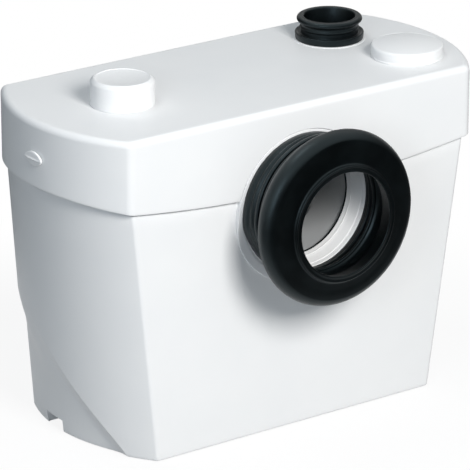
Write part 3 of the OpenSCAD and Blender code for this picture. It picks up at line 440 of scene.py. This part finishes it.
def add_turned(bm, section, place, closed=True, steps=160):
    """Spins a half section of (radius, height) round the local Z of a place."""
    verts = [bm.verts.new(place @ Vector((r, 0.0, h))) for r, h in section]
    pairs = list(zip(verts, verts[1:])) + ([(verts[-1], verts[0])] if closed else [])
    edges = [bm.edges.new(pair) for pair in pairs]
    axis = (place.to_3x3() @ Vector((0, 0, 1))).normalized()
    bmesh.ops.spin(bm, geom=verts + edges, cent=place.translation, axis=axis, angle=TAU,
                   steps=steps, use_merge=True)
    bmesh.ops.remove_doubles(bm, verts=bm.verts, dist=MERGE)


def facing(z):
    """Place on the front at a height, with its local Z towards the front."""
    return Matrix.Translation((0, 0, z)) @ Matrix.Rotation(math.radians(90), 4, "X")


def above(spot):
    """Place over a spot of the lid, with heights counted from the floor."""
    return Matrix.Translation((*spot, 0.0))


def close_ends(bm):
    bmesh.ops.holes_fill(bm, edges=[e for e in bm.edges if e.is_boundary], sides=0)


# Bowed plan of the lid and the tank

FRONT_STEPS, CORNER_STEPS, FORE_STEPS, AFT_STEPS, BACK_STEPS = 36, 8, 44, 60, 24
HALF_STEPS = FRONT_STEPS + 2 * CORNER_STEPS + FORE_STEPS + AFT_STEPS + BACK_STEPS
AFT_CROWDING = 1.5
SUPPORT = 0.8
LEAST_CORNER = 0.3


class Plan:
    """Level section: straight front and back, two bowed flanks, rounded corners."""

    def __init__(self, centre, radius, front, back, corner, heel, split,
                 lean=0.0, lean_turn=0.0):
        self.cx, self.cy = centre
        self.radius, self.lean, self.lean_turn = radius, lean, lean_turn
        self.front, self.back = front, back
        self.corner, self.heel = max(corner, LEAST_CORNER), max(heel, LEAST_CORNER)
        self.fore = self.tangent(front + self.corner, self.corner)
        self.aft = self.tangent(back - self.heel, self.heel)
        self.split = math.asin((split - self.cy) / self.reach(0.0))

    def reach(self, turn):
        return self.radius * (1 + self.lean * math.cos(turn + self.lean_turn) ** 2)

    def tangent(self, y, rounding):
        turn = 0.0
        for _ in range(4):
            turn = math.asin((y - self.cy) / (self.reach(turn) - rounding))
        return turn

    def flank(self, turn, rounding=0.0):
        r = self.reach(turn) - rounding
        return self.cx + r * math.cos(turn), self.cy + r * math.sin(turn)

    def corner_point(self, turn, tangent, rounding):
        x, y = self.flank(tangent, rounding)
        return x + rounding * math.cos(turn), y + rounding * math.sin(turn)

    def point(self, k):
        """Point k of the right half, from the middle of the front to the middle of the back."""
        if k <= FRONT_STEPS:
            end = self.flank(self.fore, self.corner)[0]
            share = k / (FRONT_STEPS - 1)
            return (end if k == FRONT_STEPS else (end - SUPPORT) * share), self.front
        k -= FRONT_STEPS
        if k <= CORNER_STEPS:
            start = -math.pi / 2
            turn = start + (self.fore - start) * k / CORNER_STEPS
            return self.corner_point(turn, self.fore, self.corner)
        k -= CORNER_STEPS
        if k <= FORE_STEPS:
            return self.flank(self.fore + (self.split - self.fore) * k / FORE_STEPS)
        k -= FORE_STEPS
        if k <= AFT_STEPS:
            share = (k / AFT_STEPS) ** AFT_CROWDING
            return self.flank(self.split + (self.aft - self.split) * share)
        k -= AFT_STEPS
        if k <= CORNER_STEPS:
            turn = self.aft + (math.pi / 2 - self.aft) * k / CORNER_STEPS
            return self.corner_point(turn, self.aft, self.heel)
        k -= CORNER_STEPS
        start = self.flank(self.aft, self.heel)[0]
        return (start - SUPPORT) * (1 - (k - 1) / (BACK_STEPS - 1)), self.back


def add_loft(bm, rings):
    """Bends a grid round the unit: a row for each ring, which gives the right half's points."""
    around = 2 * HALF_STEPS
    made = bmesh.ops.create_grid(bm, x_segments=around, y_segments=len(rings) - 1,
                                 size=1.0)["verts"]
    halves = [[ring(k) for k in range(HALF_STEPS + 1)] for ring in rings]
    for vert in made:
        i = round((vert.co.x + 1) / 2 * around) % around
        j = round((vert.co.y + 1) / 2 * (len(rings) - 1))
        k = i if i <= HALF_STEPS else around - i
        x, y, z = halves[j][k]
        vert.co = (x if i <= HALF_STEPS else -x, y, z)
    bmesh.ops.remove_doubles(bm, verts=made, dist=MERGE)


def seam(x, drop=0.0):
    """Height of the bowed seam line at a place across the width."""
    return SEAM_Z + SEAM_R - math.sqrt((SEAM_R + drop) ** 2 - x * x)


def level(plan, height):
    """Ring of a plan at one height, or at a height that follows the seam."""
    def ring(k):
        x, y = plan.point(k)
        return x, y, height(x) if callable(height) else height
    return ring


def lid_plan(in_flank, in_front=None):
    """Plan of the lid, set in by one measure or by two."""
    in_front = in_flank if in_front is None else in_front
    corner = max(LID_CORNER_R - in_flank, 1.0)
    return Plan(LID_BOW, LID_BOW_R - in_flank, in_front - LID_HALF_DEPTH,
                LID_HALF_DEPTH - in_front, corner, corner, RECESS_BACK)


def rim_plan(inset):
    """Plan of the tank's upright rim, inside the lid."""
    return lid_plan(RIM_IN_FLANK + inset, RIM_IN_FRONT + inset)


# Lid

def make_lid():
    """Lid with its skirt, the guide inside that meets the seal, and the fittings' holes."""
    edge, inner_r = 0.8, 2.0
    ceiling = LID_TOP - WALL
    bm = bmesh.new()
    rings = [level(lid_plan(WALL + 2 * inner_r), ceiling),
             level(lid_plan(WALL + inner_r), ceiling),
             level(lid_plan(WALL), ceiling - inner_r),
             level(lid_plan(WALL), lambda x: seam(x) + edge),
             level(lid_plan(WALL - edge / 2), seam)]
    rings += [level(lid_plan(inset), lambda x, up=up: seam(x) + up)
              for inset, up in reversed(quarter(edge, 3))]
    shoulder = LID_TOP - LID_EDGE_R - SUPPORT
    rings += [level(lid_plan(0.0),
                    lambda x, t=t: seam(x) + edge + (shoulder - seam(x) - edge) * t)
              for t in (0.04, 0.35, 0.7, 1.0)]
    rings += [level(lid_plan(inset), LID_TOP - drop) for inset, drop in quarter(LID_EDGE_R, 10)]
    rings += [level(lid_plan(LID_EDGE_R + inset), LID_TOP) for inset in (SUPPORT, 3 * SUPPORT)]
    add_loft(bm, rings)
    close_ends(bm)
    guide = bmesh.new()
    low, high = RIM_Z + SEAL_T + 0.3, ceiling + 0.5
    add_loft(guide, [level(rim_plan(inset), z) for inset, z in
                     ((0.0, high), (0.0, low), (WALL, low), (WALL, high), (0.0, high))])
    cut = bmesh.new()
    low, high = LID_TOP - 4 * WALL, LID_TOP + 4 * WALL
    holes = ((OUTLET, OUTLET_HOLE_R), (VENT, VENT_HOLE_R), (BLANK, BLANK_HOLE_R))
    for spot, r in holes:
        add_bar(cut, (*spot, low), (*spot, high), r)
    add_bar(cut, (0, -LID_HALF_DEPTH - 10, BOSS_Z), (0, -LID_HALF_DEPTH + 2 * WALL, BOSS_Z),
            BOSS_R + 0.5, 192)
    finish_piece("lid_shell", bm, "white_shell", "lid", ["lid", "lid_skirt", "lid_guide"],
                 carve=[("UNION", guide), ("DIFFERENCE", cut)])


def make_outlet_seat():
    """Thin white ring on the lid under the outlet connector."""
    inner, outer, edge = 23.6, 28.4, 0.4
    low, top = LID_TOP - 0.3, LID_TOP + 0.5
    section = [(inner, low), (outer, low), (outer, top - edge),
               *arc(outer - edge, top - edge, edge, 10, 80, 4), (outer - edge, top), (inner, top)]
    bm = bmesh.new()
    add_turned(bm, section, above(OUTLET))
    finish_piece("outlet_seat", bm, "white_shell", "lid")


# Tank

def recess_line(z):
    """How far back the recess's slanting edge lies at a height."""
    rise = min(z, RECESS_TOP) / RECESS_TOP
    return RECESS_FRONT + (RECESS_BACK - RECESS_FRONT) * rise ** RECESS_CURVE


def recess_depth(y, z):
    """How far the flank is set in: a fillet behind the slanting edge, then a flat rear."""
    slant = (RECESS_BACK - RECESS_FRONT) / RECESS_TOP
    behind = (y - recess_line(z)) / math.hypot(1.0, slant)
    if behind <= 0 or z >= SKIRTING_HIGH:
        return 0.0
    fade = max(1 - z / RECESS_TOP, 0.0)
    sink = 1 - (1 - min(behind / RECESS_FILLET, 1.0)) ** RECESS_FILLET_CURVE
    rear = eased(behind, RECESS_REAR_FROM, RECESS_REAR_TO)
    step = share_of(z, SKIRTING_HIGH, SKIRTING_LOW)
    return (1 - rear) * RECESS_DEPTH * fade * sink + rear * RECESS_REAR * step


def tank_plan(z, inset):
    t = z / SEAM_Z
    front = FRONT_FOOT + (FRONT_TOP - FRONT_FOOT) * t + inset
    back = BACK_Y - SKIRTING_DEPTH * (1 - share_of(z, SKIRTING_LOW, SKIRTING_HIGH)) - inset
    centre = (FLANK_FOOT[0] + LEAN[0] * t, FLANK_FOOT[1] + LEAN[1] * t)
    return Plan(centre, FLANK_R - inset, front, back, TANK_CORNER_R - inset, TANK_BACK_R - inset,
                recess_line(z), LEAN_GROWTH, LEAN_TURN)


def tank_skin(z_level, inset):
    """Ring of the tank's wall: level low down, then stretched to follow the seam."""
    plans = {}
    span = SEAM_Z - SEAM_GAP - STRETCH_FROM

    def at(z, k):
        z = round(z, 2)
        if z not in plans:
            plans[z] = tank_plan(z, inset)
        return plans[z].point(k)

    def ring(k):
        z = z_level
        if z > STRETCH_FROM:
            for _ in range(2):
                top = seam(at(z, k)[0], SEAM_GAP)
                z = STRETCH_FROM + (z_level - STRETCH_FROM) * (top - STRETCH_FROM) / span
        x, y = at(z, k)
        if k > FRONT_STEPS + CORNER_STEPS:
            x -= recess_depth(y, z) * min(x / RECESS_FULL_X, 1.0)
        return x, y, z
    return ring


def make_tank():
    """Tank wall, from the foot up the outside, over the rim and down the inside to the floor."""
    edge, foot, rim_edge = 0.9, 1.2, 0.7
    low_steps, high_steps, inner_steps = 34, 10, 4
    top = SEAM_Z - SEAM_GAP
    inner_top = top - LEDGE_T
    bm = bmesh.new()
    rings = [tank_skin(foot - math.sqrt(max(foot ** 2 - (foot - i) ** 2, 0.0)), i)
             for i in (foot + SUPPORT, foot, 0.7 * foot, 0.3 * foot, 0.08 * foot)]
    outside = [foot + (SKIRTING_LOW - foot) * i / low_steps for i in range(low_steps + 1)]
    outside += [84, 86, 88, 90, 92, 94, 96, SKIRTING_HIGH, 104, STRETCH_FROM]
    outside += [STRETCH_FROM + (top - edge - STRETCH_FROM) * i / high_steps
                for i in range(1, high_steps + 1)]
    rings += [tank_skin(z, 0.0) for z in outside]
    rings += [tank_skin(top - drop, inset) for inset, drop in quarter(edge, 3)[1:]]
    rings += [level(rim_plan(0.0), lambda x: seam(x, SEAM_GAP)),
              level(rim_plan(0.0), lambda x: seam(x) + 1.0),
              level(rim_plan(0.0), RIM_Z - 6),
              level(rim_plan(0.0), RIM_Z - rim_edge),
              level(rim_plan(rim_edge), RIM_Z),
              level(rim_plan(WALL - rim_edge), RIM_Z),
              level(rim_plan(WALL), RIM_Z - rim_edge),
              level(rim_plan(WALL), lambda x: seam(x, SEAM_GAP + LEDGE_T))]
    inside = [STRETCH_FROM + (inner_top - STRETCH_FROM) * i / inner_steps
              for i in range(inner_steps, -1, -1)]
    inside += [98, 94, 88, 82, 75, 60, 45, 30, 15, FLOOR_T + 2, FLOOR_T]
    rings += [tank_skin(z, WALL) for z in inside]
    rings += [tank_skin(FLOOR_T, WALL + 2)]
    add_loft(bm, rings)
    close_ends(bm)
    pockets, cut = bmesh.new(), bmesh.new()
    fore, aft = NOTCH_Y
    for side in (-1, 1):
        ends = sorted((side * (NOTCH_X - WALL), side * (NOTCH_X + POCKET_DEEP)))
        add_block(pockets, (ends[0], fore - WALL, 0.4), (ends[1], aft + WALL, NOTCH_HIGH + WALL))
        ends = sorted((side * NOTCH_X, side * (NOTCH_X + 60)))
        add_block(cut, (ends[0], fore, -2.0), (ends[1], aft, NOTCH_HIGH))
    neck_z = INLET_Z - NECK_DROP
    add_bar(cut, (0, -LID_HALF_DEPTH - 15, neck_z), (0, -LID_HALF_DEPTH + 25, neck_z),
            INLET_HOLE_R, 160)
    gland_x, gland_z = GLAND
    add_bar(cut, (gland_x, BACK_Y - 15, gland_z), (gland_x, BACK_Y + 15, gland_z),
            GLAND_HOLE_R, 64)
    finish_piece("tank_shell", bm, "white_shell", "base",
                 ["tank_floor", "tank_front", "tank_back", "tank_left", "tank_right",
                  "tank_rim", "fixing_pockets"], sharp=28.0,
                 carve=[("UNION", pockets), ("DIFFERENCE", cut)])


# Inlet: sections are (radius, distance in front of the unit's middle)

def drawn_back(z):
    """Nought above the inlet's middle, the boss's full fade well below it."""
    return BOSS_FADE * eased(z, LOWER_FROM, LOWER_TO)


def make_boss():
    """Raised ring on the front that carries the sleeve; its face falls back at the bottom."""
    face, edge = BOSS_FACE, 0.5
    hole = INLET_HOLE_R + 1.6
    section = [(hole, BOSS_BACK), (BOSS_R, BOSS_BACK), (BOSS_R, face - 3), (BOSS_R, face - edge),
               *arc(BOSS_R - edge, face - edge, edge, 18, 90, 5), (BOSS_R - 2, face),
               (hole, face)]
    bm = bmesh.new()
    add_turned(bm, section, facing(BOSS_Z), steps=192)
    for vert in bm.verts:
        if -vert.co.y > BOSS_BACK + 1.0:
            vert.co.y += drawn_back(vert.co.z)
    finish_piece("inlet_boss_ring", bm, "white_shell", "base", ["inlet_boss"])


def make_collar():
    """White collar: tube in the boss and under the sleeve, and a funnel towards the chute."""
    tube_from, tube_to = 50.6, 52.6
    section = [(49.3, 69.8), (52.7, 69.8), (52.7, 95.0), *arc(51.9, 95.0, 0.8, 10, 90, 4),
               (50.7, 95.8), *arc(50.7, 95.1, 0.7, 100, 175, 4), (49.7, 93.2), (49.5, 92.4),
               (48.9, 92.1), (48.6, 91.6), (47.6, 85.6), (47.0, 84.8), (44.5, 80.2),
               (44.4, 79.6), (45.2, 79.4), (45.7, 83.4), (49.3, 83.7)]
    bm = bmesh.new()
    add_turned(bm, section, facing(INLET_Z))
    for vert in bm.verts:
        r = math.hypot(vert.co.x, vert.co.z - INLET_Z)
        vert.co.z -= NECK_DROP * share_of(r, tube_from, tube_to)
    finish_piece("collar", bm, "white_shell", "base", ["inlet_collar"])


def make_chute_seal():
    """Thin rubber ring between the collar's funnel and the chute."""
    section = [*arc(44.5, 79.3, 0.8, 80, 260, 10), (45.9, 78.5), (45.9, 79.3), (45.2, 79.5)]
    bm = bmesh.new()
    add_turned(bm, section, facing(INLET_Z))
    finish_piece("chute_seal", bm, "black_rubber", "base", sharp=60.0)


LIP_R, LIP_S, LIP_TUBE = 58.9, 125.9, 9.4
MOUTH_R = 44.5


def sleeve_section():
    """Half section of the sleeve: heel, two ribs, lip, dished face, mouth ring and bore."""
    neck, back, front = 55.6, BOSS_FACE + 0.1, 138.3
    outer = [(53.0, back), (57.5, back), (58.0, back + 0.4), (58.1, 90.8), (57.8, 91.8),
             (57.1, 92.9), (56.8, 93.9), (57.1, 95.0), (57.5, 95.7), (57.7, 96.2), (57.7, 97.0),
             (57.2, 98.1), (56.6, 98.6)]
    for groove, low, high in ((100.6, 102.6, 105.4), (106.9, 108.3, 111.2)):
        outer += [(neck + 0.6, groove - 1.0), (neck, groove - 0.3), (neck + 0.1, groove + 0.4),
                  (neck + 1.0, groove + 0.9), (58.5, low), (58.9, low + 0.4),
                  (59.0, high - 0.9), (58.5, high + 0.2), (57.8, high + 0.7)]
    outer += [(57.4, 112.2), (56.9, 112.9), (57.1, 113.7), (57.9, 114.6)]
    outer += flowing([(57.9, 114.6), (61.2, 116.2), (64.4, 118.0), (66.6, 120.2)], 5)[1:]
    outer += arc(LIP_R, LIP_S, LIP_TUBE, -30, 70, 30)
    face = flowing([outer[-1], (59.3, 135.0), (55.8, 135.0), (52.2, 135.1), (49.4, 135.2),
                    (47.4, 135.4), (46.5, 136.0), (46.1, 136.9)], 6)
    mouth = [*arc(45.1, front - 1.0, 1.0, 10, 100, 6), (44.4, front - 0.3), (43.8, front - 0.5),
             (43.2, front - 0.3), *arc(41.9, front - 0.9, 0.9, 60, 200, 9), (41.6, front - 2.0),
             (43.0, front - 2.7), (44.2, front - 3.4)]
    bore = [(MOUTH_R, 134.0), (MOUTH_R, 124.2), (MOUTH_R + 0.6, 123.2), (46.4, 122.7),
            (49.2, 122.5), (50.0, 121.7), (50.0, 113.7), (49.6, 112.9),
            *arc(48.0, 110.3, 1.5, 70, 290, 12), (49.6, 107.7), (50.0, 106.9), (50.0, 103.5),
            *arc(50.4, 101.9, 1.0, 120, 240, 6), (50.0, 100.1), (50.0, 96.9), (50.8, 96.1),
            (53.0, 96.1)]
    return outer + face[1:] + mouth + bore


def make_sleeve():
    """Rubber pan sleeve; mouth, lip and heel sag apart, and the heel tapers towards the bottom."""
    mouth_right, mouth_drop = 0.9, 3.4
    lip_grow, lip_left, lip_drop = 0.9, 0.5, 1.3
    face_from, foot_to = 122.6, 88.0
    bore_r, wall_r = 51.0, 53.5
    mouth_spread, lip_spread = (LIP_R, MOUTH_R + 2.0), (55.0, 65.0)
    heel_reach, lip_reach, taper_reach = (98.0, 92.0), (112.0, 118.0), (112.0, 86.0)
    bm = bmesh.new()
    add_turned(bm, sleeve_section(), facing(INLET_Z), steps=200)
    for vert in bm.verts:
        s, low = -vert.co.y, INLET_Z - vert.co.z
        r = math.hypot(vert.co.x, low)
        mouth = eased(r, *mouth_spread) if s > face_from else 0.0
        heel = eased(s, *heel_reach) if r > bore_r else 0.0
        lip = eased(r, *lip_spread) * eased(s, *lip_reach)
        lower = eased(vert.co.z, LOWER_FROM, LOWER_TO)
        taper = HEEL_TAPER * lower * share_of(s, *taper_reach) if r > wall_r else 0.0
        grow = 1 + (lip * lip_grow - taper) / r
        if s < foot_to:
            vert.co.y += drawn_back(vert.co.z)
        vert.co.x = vert.co.x * grow - lip * lip_left + mouth * mouth_right
        drop = lip * lip_drop + mouth * mouth_drop + heel * NECK_DROP
        vert.co.z = INLET_Z - low * grow - drop
    finish_piece("pan_sleeve", bm, "black_rubber", "base", ["inlet_sleeve"], sharp=50.0)


# Fittings on the lid: sections are (radius, height above the floor)

def make_outlet():
    """Rubber outlet connector: foot under the lid, cupped flange, waist with a bead, rolled lip."""
    section = [(21.3, 258.5), (25.0, 258.5), (25.4, 258.9), (25.4, 261.9), (23.2, 262.0),
               (23.2, 265.5), (26.3, 265.5), *arc(26.3, 266.1, 0.6, -80, 0, 5), (27.2, 268.0),
               (27.3, 270.0), *arc(26.7, 270.5, 0.6, 10, 90, 6), (26.2, 271.1), (25.6, 270.8),
               (24.8, 270.3), (23.5, 270.0), (22.9, 270.3), (22.7, 271.0), (22.7, 273.6),
               (22.8, 274.4), *arc(22.6, 275.2, 0.75, -60, 60, 6), (22.7, 276.4), (22.8, 277.6),
               (23.2, 278.7), (24.0, 279.3), *arc(23.6, 281.6, 2.3, -60, 100, 14),
               (22.4, 283.75), (21.7, 283.9), (21.1, 284.0), (20.6, 283.7), (20.2, 282.8),
               (20.2, 263.0), (21.3, 262.8)]
    bm = bmesh.new()
    add_turned(bm, section, above(OUTLET))
    finish_piece("outlet_rubber", bm, "black_rubber", "lid", ["outlet_connector"],
                 sharp=45.0)


def make_vent_cap():
    """Tall cap over the filter: chamfered rim and a top disc that lies a little lower."""
    r, top, chamfer = 24.6, LID_TOP + 21.0, 2.6
    ceiling, disc = top - 5.1, top - 0.5
    section = [(0.0, ceiling), (21.3, ceiling), (21.6, ceiling - 0.3), (21.6, LID_TOP),
               (r - 0.4, LID_TOP), (r, LID_TOP + 0.4), (r, top - chamfer - 0.6),
               (r - 0.12, top - chamfer - 0.1), (r - 0.5, top - chamfer + 0.5),
               (r - chamfer + 0.5, top - 0.45), (r - chamfer, top - 0.1),
               (r - chamfer - 0.5, top), (r - 3.9, top), (r - 4.2, top - 0.12),
               (r - 4.4, top - 0.4), (r - 4.7, disc), (0.0, disc)]
    bm = bmesh.new()
    add_turned(bm, section, above(VENT), closed=False)
    finish_piece("vent_cap_shell", bm, "white_shell", "lid", ["vent_cap"], sharp=24.0)


def make_blank_cap():
    """Low cap with a rim step and a domed top, on a neck in the lid."""
    r, rim, rise, dome_edge, dome_steps = 28.5, LID_TOP + 9.4, 2.6, 27.1, 16
    neck_in, neck_out, neck_low = 21.7, 24.2, 255.0
    dome_r = (r * r + rise * rise) / (2 * rise)
    spots = [dome_edge * (1 - i / dome_steps) for i in range(dome_steps + 1)]
    dome = [(x, rim + rise - dome_r + math.sqrt(dome_r ** 2 - x * x)) for x in spots]
    section = [(0.0, LID_TOP + 0.5), (neck_in - 0.2, LID_TOP + 0.5), (neck_in, LID_TOP),
               (neck_in, neck_low), (neck_out, neck_low), (neck_out, LID_TOP - 0.2),
               (r - 0.3, LID_TOP), (r, LID_TOP + 0.3), (r, LID_TOP + 1.3),
               (r - 0.3, LID_TOP + 1.6), (r - 0.3, LID_TOP + 1.9), (r - 0.1, LID_TOP + 2.2),
               (r - 0.1, rim - 1.5), *arc(r - 1.7, rim - 1.2, 1.6, 5, 75, 6), *dome]
    bm = bmesh.new()
    add_turned(bm, section, above(BLANK), closed=False)
    finish_piece("blank_cap_shell", bm, "white_shell", "lid", ["blanking_cap"], sharp=40.0)


def make_lock(side):
    """Quarter-turn lock: oval head with a ridge, shaft through the skirt and an upright cam."""
    half_len, half_wide, gap, edge = 10.6, 5.4, 0.3, 1.6
    lens_share, least_wide, end_crowding = 0.4, 0.12, 1.3
    crown, crown_fall, round_drop, round_from = 0.5, 0.4, 0.3, 0.86
    ridge_high, ridge_half_wide, ridge_half_len = 0.5, 0.9, 0.84 * half_len
    shaft_r, cam_half_wide, cam_half_high, cam_t = 3.0, 2.5, 7.0, 3.0
    lens_r = (half_len ** 2 + half_wide ** 2) / (2 * half_wide)
    bm = bmesh.new()
    head = bmesh.ops.create_grid(bm, x_segments=64, y_segments=28, size=1.0)
    for vert in head["verts"]:
        u, v = vert.co.x, vert.co.y
        along = half_len * math.copysign(1 - (1 - abs(u)) ** end_crowding, u)
        lens = math.sqrt(max(lens_r ** 2 - along ** 2, 0.0)) - (lens_r - half_wide)
        oval = half_wide * math.sqrt(max(1 - (along / half_len) ** 2, 0.0))
        wide = max(lens_share * lens + (1 - lens_share) * oval, least_wide)
        slope = crown * (1 - abs(v)) * (1 - crown_fall * u * u)
        rounding = round_drop * share_of(abs(v), round_from, 1.0) ** 2
        ridge = (ridge_high * max(1 - abs(wide * v) / ridge_half_wide, 0.0) ** 0.7
                 * max(1 - (along / ridge_half_len) ** 4, 0.0))
        vert.co = (gap + edge + slope - rounding + ridge, along, wide * v)
    walls = bmesh.ops.extrude_edge_only(bm, edges=[e for e in bm.edges if e.is_boundary])["geom"]
    for vert in walls:
        if isinstance(vert, bmesh.types.BMVert):
            vert.co.x = gap
    close_ends(bm)
    inner = -WALL - 2 * gap
    add_bar(bm, (inner - cam_t, 0, 0), (gap + 0.5, 0, 0), shaft_r, 32)
    cam = add_block(bm, (inner - cam_t, -cam_half_wide, -cam_half_high),
                    (inner, cam_half_wide, cam_half_high))
    edges = {e for v in cam for e in v.link_edges}
    bmesh.ops.bevel(bm, geom=list(edges), offset=0.5, offset_type="OFFSET", segments=2,
                    profile=0.5, affect="EDGES", material=-1)
    turn = math.asin((LOCK_Y - LID_BOW[1]) / LID_BOW_R)
    place = (Matrix.Translation((*LID_BOW, LOCK_Z)) @ Matrix.Rotation(turn, 4, "Z")
             @ Matrix.Translation((LID_BOW_R, 0, 0)))
    mirror = Matrix.Diagonal((side, 1, 1, 1))
    bmesh.ops.transform(bm, matrix=mirror @ place, verts=bm.verts)
    name = "right" if side > 0 else "left"
    finish_piece(f"{name}_lock_head", bm, "white_shell", f"{name}_lock",
                 [f"lock_{name}"], sharp=35.0)


make_tank()
make_lid()
make_boss()
make_collar()
make_chute_seal()
make_sleeve()
make_outlet_seat()
make_outlet()
make_vent_cap()
make_blank_cap()
make_lock(1)
make_lock(-1)


# Finishes of the CAD nodes; those that no piece replaces stay in view

for part in frame["record"]["subparts"]:
    node = frame["nodes"][part["node"]]
    node.data.materials.clear()
    node.data.materials.append(FINISHES[part["material_slot"]])


# Studio, in metres

FLOOR_REACH = 6.0
FLOOR_FRONT = -0.46
FLOOR_Z = -0.0004
FLOOR_TONE, FLOOR_TONE_SEEN, FLOOR_TONE_MIRRORED = 0.36, 0.95, 0.03
FLOOR_GLOW_NEAR = 0.88
BLACK, WHITE = (0.0, 0.0, 0.0), (1.0, 1.0, 1.0)
ROOM_SHADE = (0.80, 0.92, 1.0, 1.0)
ROOM_LIGHT = 0.25
GAP_LIGHT = 0.05
LAMP_DISTANCE = 2.2
LAMP_AIM = (0, 0, 0.14)


def make_floor():
    """Floor that looks white to the camera, keeps the unit's shadow and throws back less light."""
    bm = bmesh.new()
    bmesh.ops.create_grid(bm, x_segments=1, y_segments=1, size=FLOOR_REACH)
    bmesh.ops.translate(bm, verts=bm.verts, vec=(0, FLOOR_REACH + FLOOR_FRONT, FLOOR_Z))
    mesh = bpy.data.meshes.new("floor")
    bm.to_mesh(mesh)
    bm.free()
    floor = bpy.data.objects.new("floor", mesh)
    bpy.context.scene.collection.objects.link(floor)
    paint = Finish("floor_paint", Roughness=0.9)
    away = paint.node("ShaderNodeVectorMath", {"operation": "LENGTH"}, {0: paint.place},
                      out="Value")
    depth = paint.node("ShaderNodeSeparateXYZ", None, {0: paint.place}, out="Y")
    camera = paint.rays("Is Camera Ray")
    mirrored = paint.mirrored()
    far = 1 - (1 - paint.faded(away, 0.32, 0.48)) * paint.faded(depth, -0.32, -0.18)
    tone = (FLOOR_TONE + (FLOOR_TONE_SEEN - FLOOR_TONE) * camera
            - (FLOOR_TONE - FLOOR_TONE_MIRRORED) * mirrored * far)
    paint.done(Base_Color=paint.tint(BLACK, WHITE, tone))
    glow = paint.node("ShaderNodeEmission", None, {"Color": (*WHITE, 1.0), "Strength": 1.0})
    glow_share = FLOOR_GLOW_NEAR + (1 - FLOOR_GLOW_NEAR) * paint.faded(away, 0.24, 0.44)
    seen = camera + mirrored * (1 - far)
    mixed = paint.node("ShaderNodeMixShader", None,
                       {0: glow_share * seen, 1: Wire(paint, paint.shader.outputs[0]), 2: glow})
    paint.show(mixed, "Material Output")
    mesh.materials.append(paint.material)


def make_world():
    """Soft cool room light. The camera sees plain white; reflections see white sheets overhead,
    in front, at the left and low behind, with near-black between them."""
    world = bpy.data.worlds.new("studio")
    bpy.context.scene.world = world
    world.use_nodes = True
    room = Studio(world.node_tree)
    camera = room.rays("Is Camera Ray")
    mirrored = room.mirrored()
    toward = room.node("ShaderNodeTexCoord", out="Generated")
    x, y, z = (room.node("ShaderNodeSeparateXYZ", None, {0: toward}, out=axis) for axis in "XYZ")
    overhead = room.faded(z, 0.38, 0.62)
    front = room.faded(z, 0.2, 0.5) * room.faded(y, -0.1, -0.4)
    left = room.faded(x, -0.8, -0.95)
    low = 1 - 0.9 * room.faded(z, 0.1, 0.35)
    behind = room.faded(x, -0.1, 0.3) * room.faded(y, 0.0, 0.4) * low
    sheets = room.node("ShaderNodeClamp", None, {"Value": overhead + front + left + behind})
    bright = camera + mirrored * (GAP_LIGHT + (1 - GAP_LIGHT) * sheets)
    dim = room.node("ShaderNodeBackground", None, {"Color": ROOM_SHADE, "Strength": ROOM_LIGHT})
    white = room.node("ShaderNodeBackground", None, {"Color": (*WHITE, 1.0), "Strength": bright})
    mixed = room.node("ShaderNodeMixShader", None, {0: camera + mirrored, 1: dim, 2: white})
    room.show(mixed, "World Output")


def add_lamp(name, direction, size, power, shade):
    """Soft square lamp that looks at the middle of the unit."""
    lamp = bpy.data.lights.new(name, "AREA")
    lamp.shape = "SQUARE"
    lamp.size = size
    lamp.energy = power
    lamp.color = shade
    stand = bpy.data.objects.new(name, lamp)
    bpy.context.scene.collection.objects.link(stand)
    aim = Vector(direction).normalized()
    stand.location = Vector(LAMP_AIM) + aim * LAMP_DISTANCE
    stand.rotation_euler = aim.to_track_quat("Z", "Y").to_euler()
    return stand


def make_camera():
    """Long lens from the front left, a little above the lid; distances in millimetres."""
    turn, rise, distance = math.radians(-35.13), math.radians(20.74), 3027.74
    middle, shift_right, shift_up = Vector((0, 0, 132.5)), -3.33, 0.19
    sensor, focal_share = 36.0, 3874.61 / 470
    back = Vector((math.sin(turn) * math.cos(rise), -math.cos(turn) * math.cos(rise),
                   math.sin(rise)))
    right = Vector((math.cos(turn), math.sin(turn), 0.0))
    target = middle + right * shift_right + back.cross(right) * shift_up
    camera = bpy.data.cameras.new("camera")
    camera.sensor_width = sensor
    camera.lens = focal_share * sensor
    camera.clip_start, camera.clip_end = 0.1, 30.0
    stand = bpy.data.objects.new("camera", camera)
    bpy.context.scene.collection.objects.link(stand)
    stand.location = (target + back * distance) * MM
    stand.rotation_euler = back.to_track_quat("Z", "Y").to_euler()
    bpy.context.scene.camera = stand


make_floor()
make_world()
key = add_lamp("key", (-0.112, -0.835, 0.539), 0.72, 43.0, (1.0, 0.985, 0.965))
key.visible_glossy = False
add_lamp("sky", (-0.2, 0.2, 0.95), 0.55, 7.5, (0.97, 0.985, 1.0))
add_lamp("side", (-0.74, -0.56, 0.36), 0.8, 8.6, (0.86, 0.955, 1.06))
make_camera()
bpy.context.scene.view_settings.view_transform = "Standard"
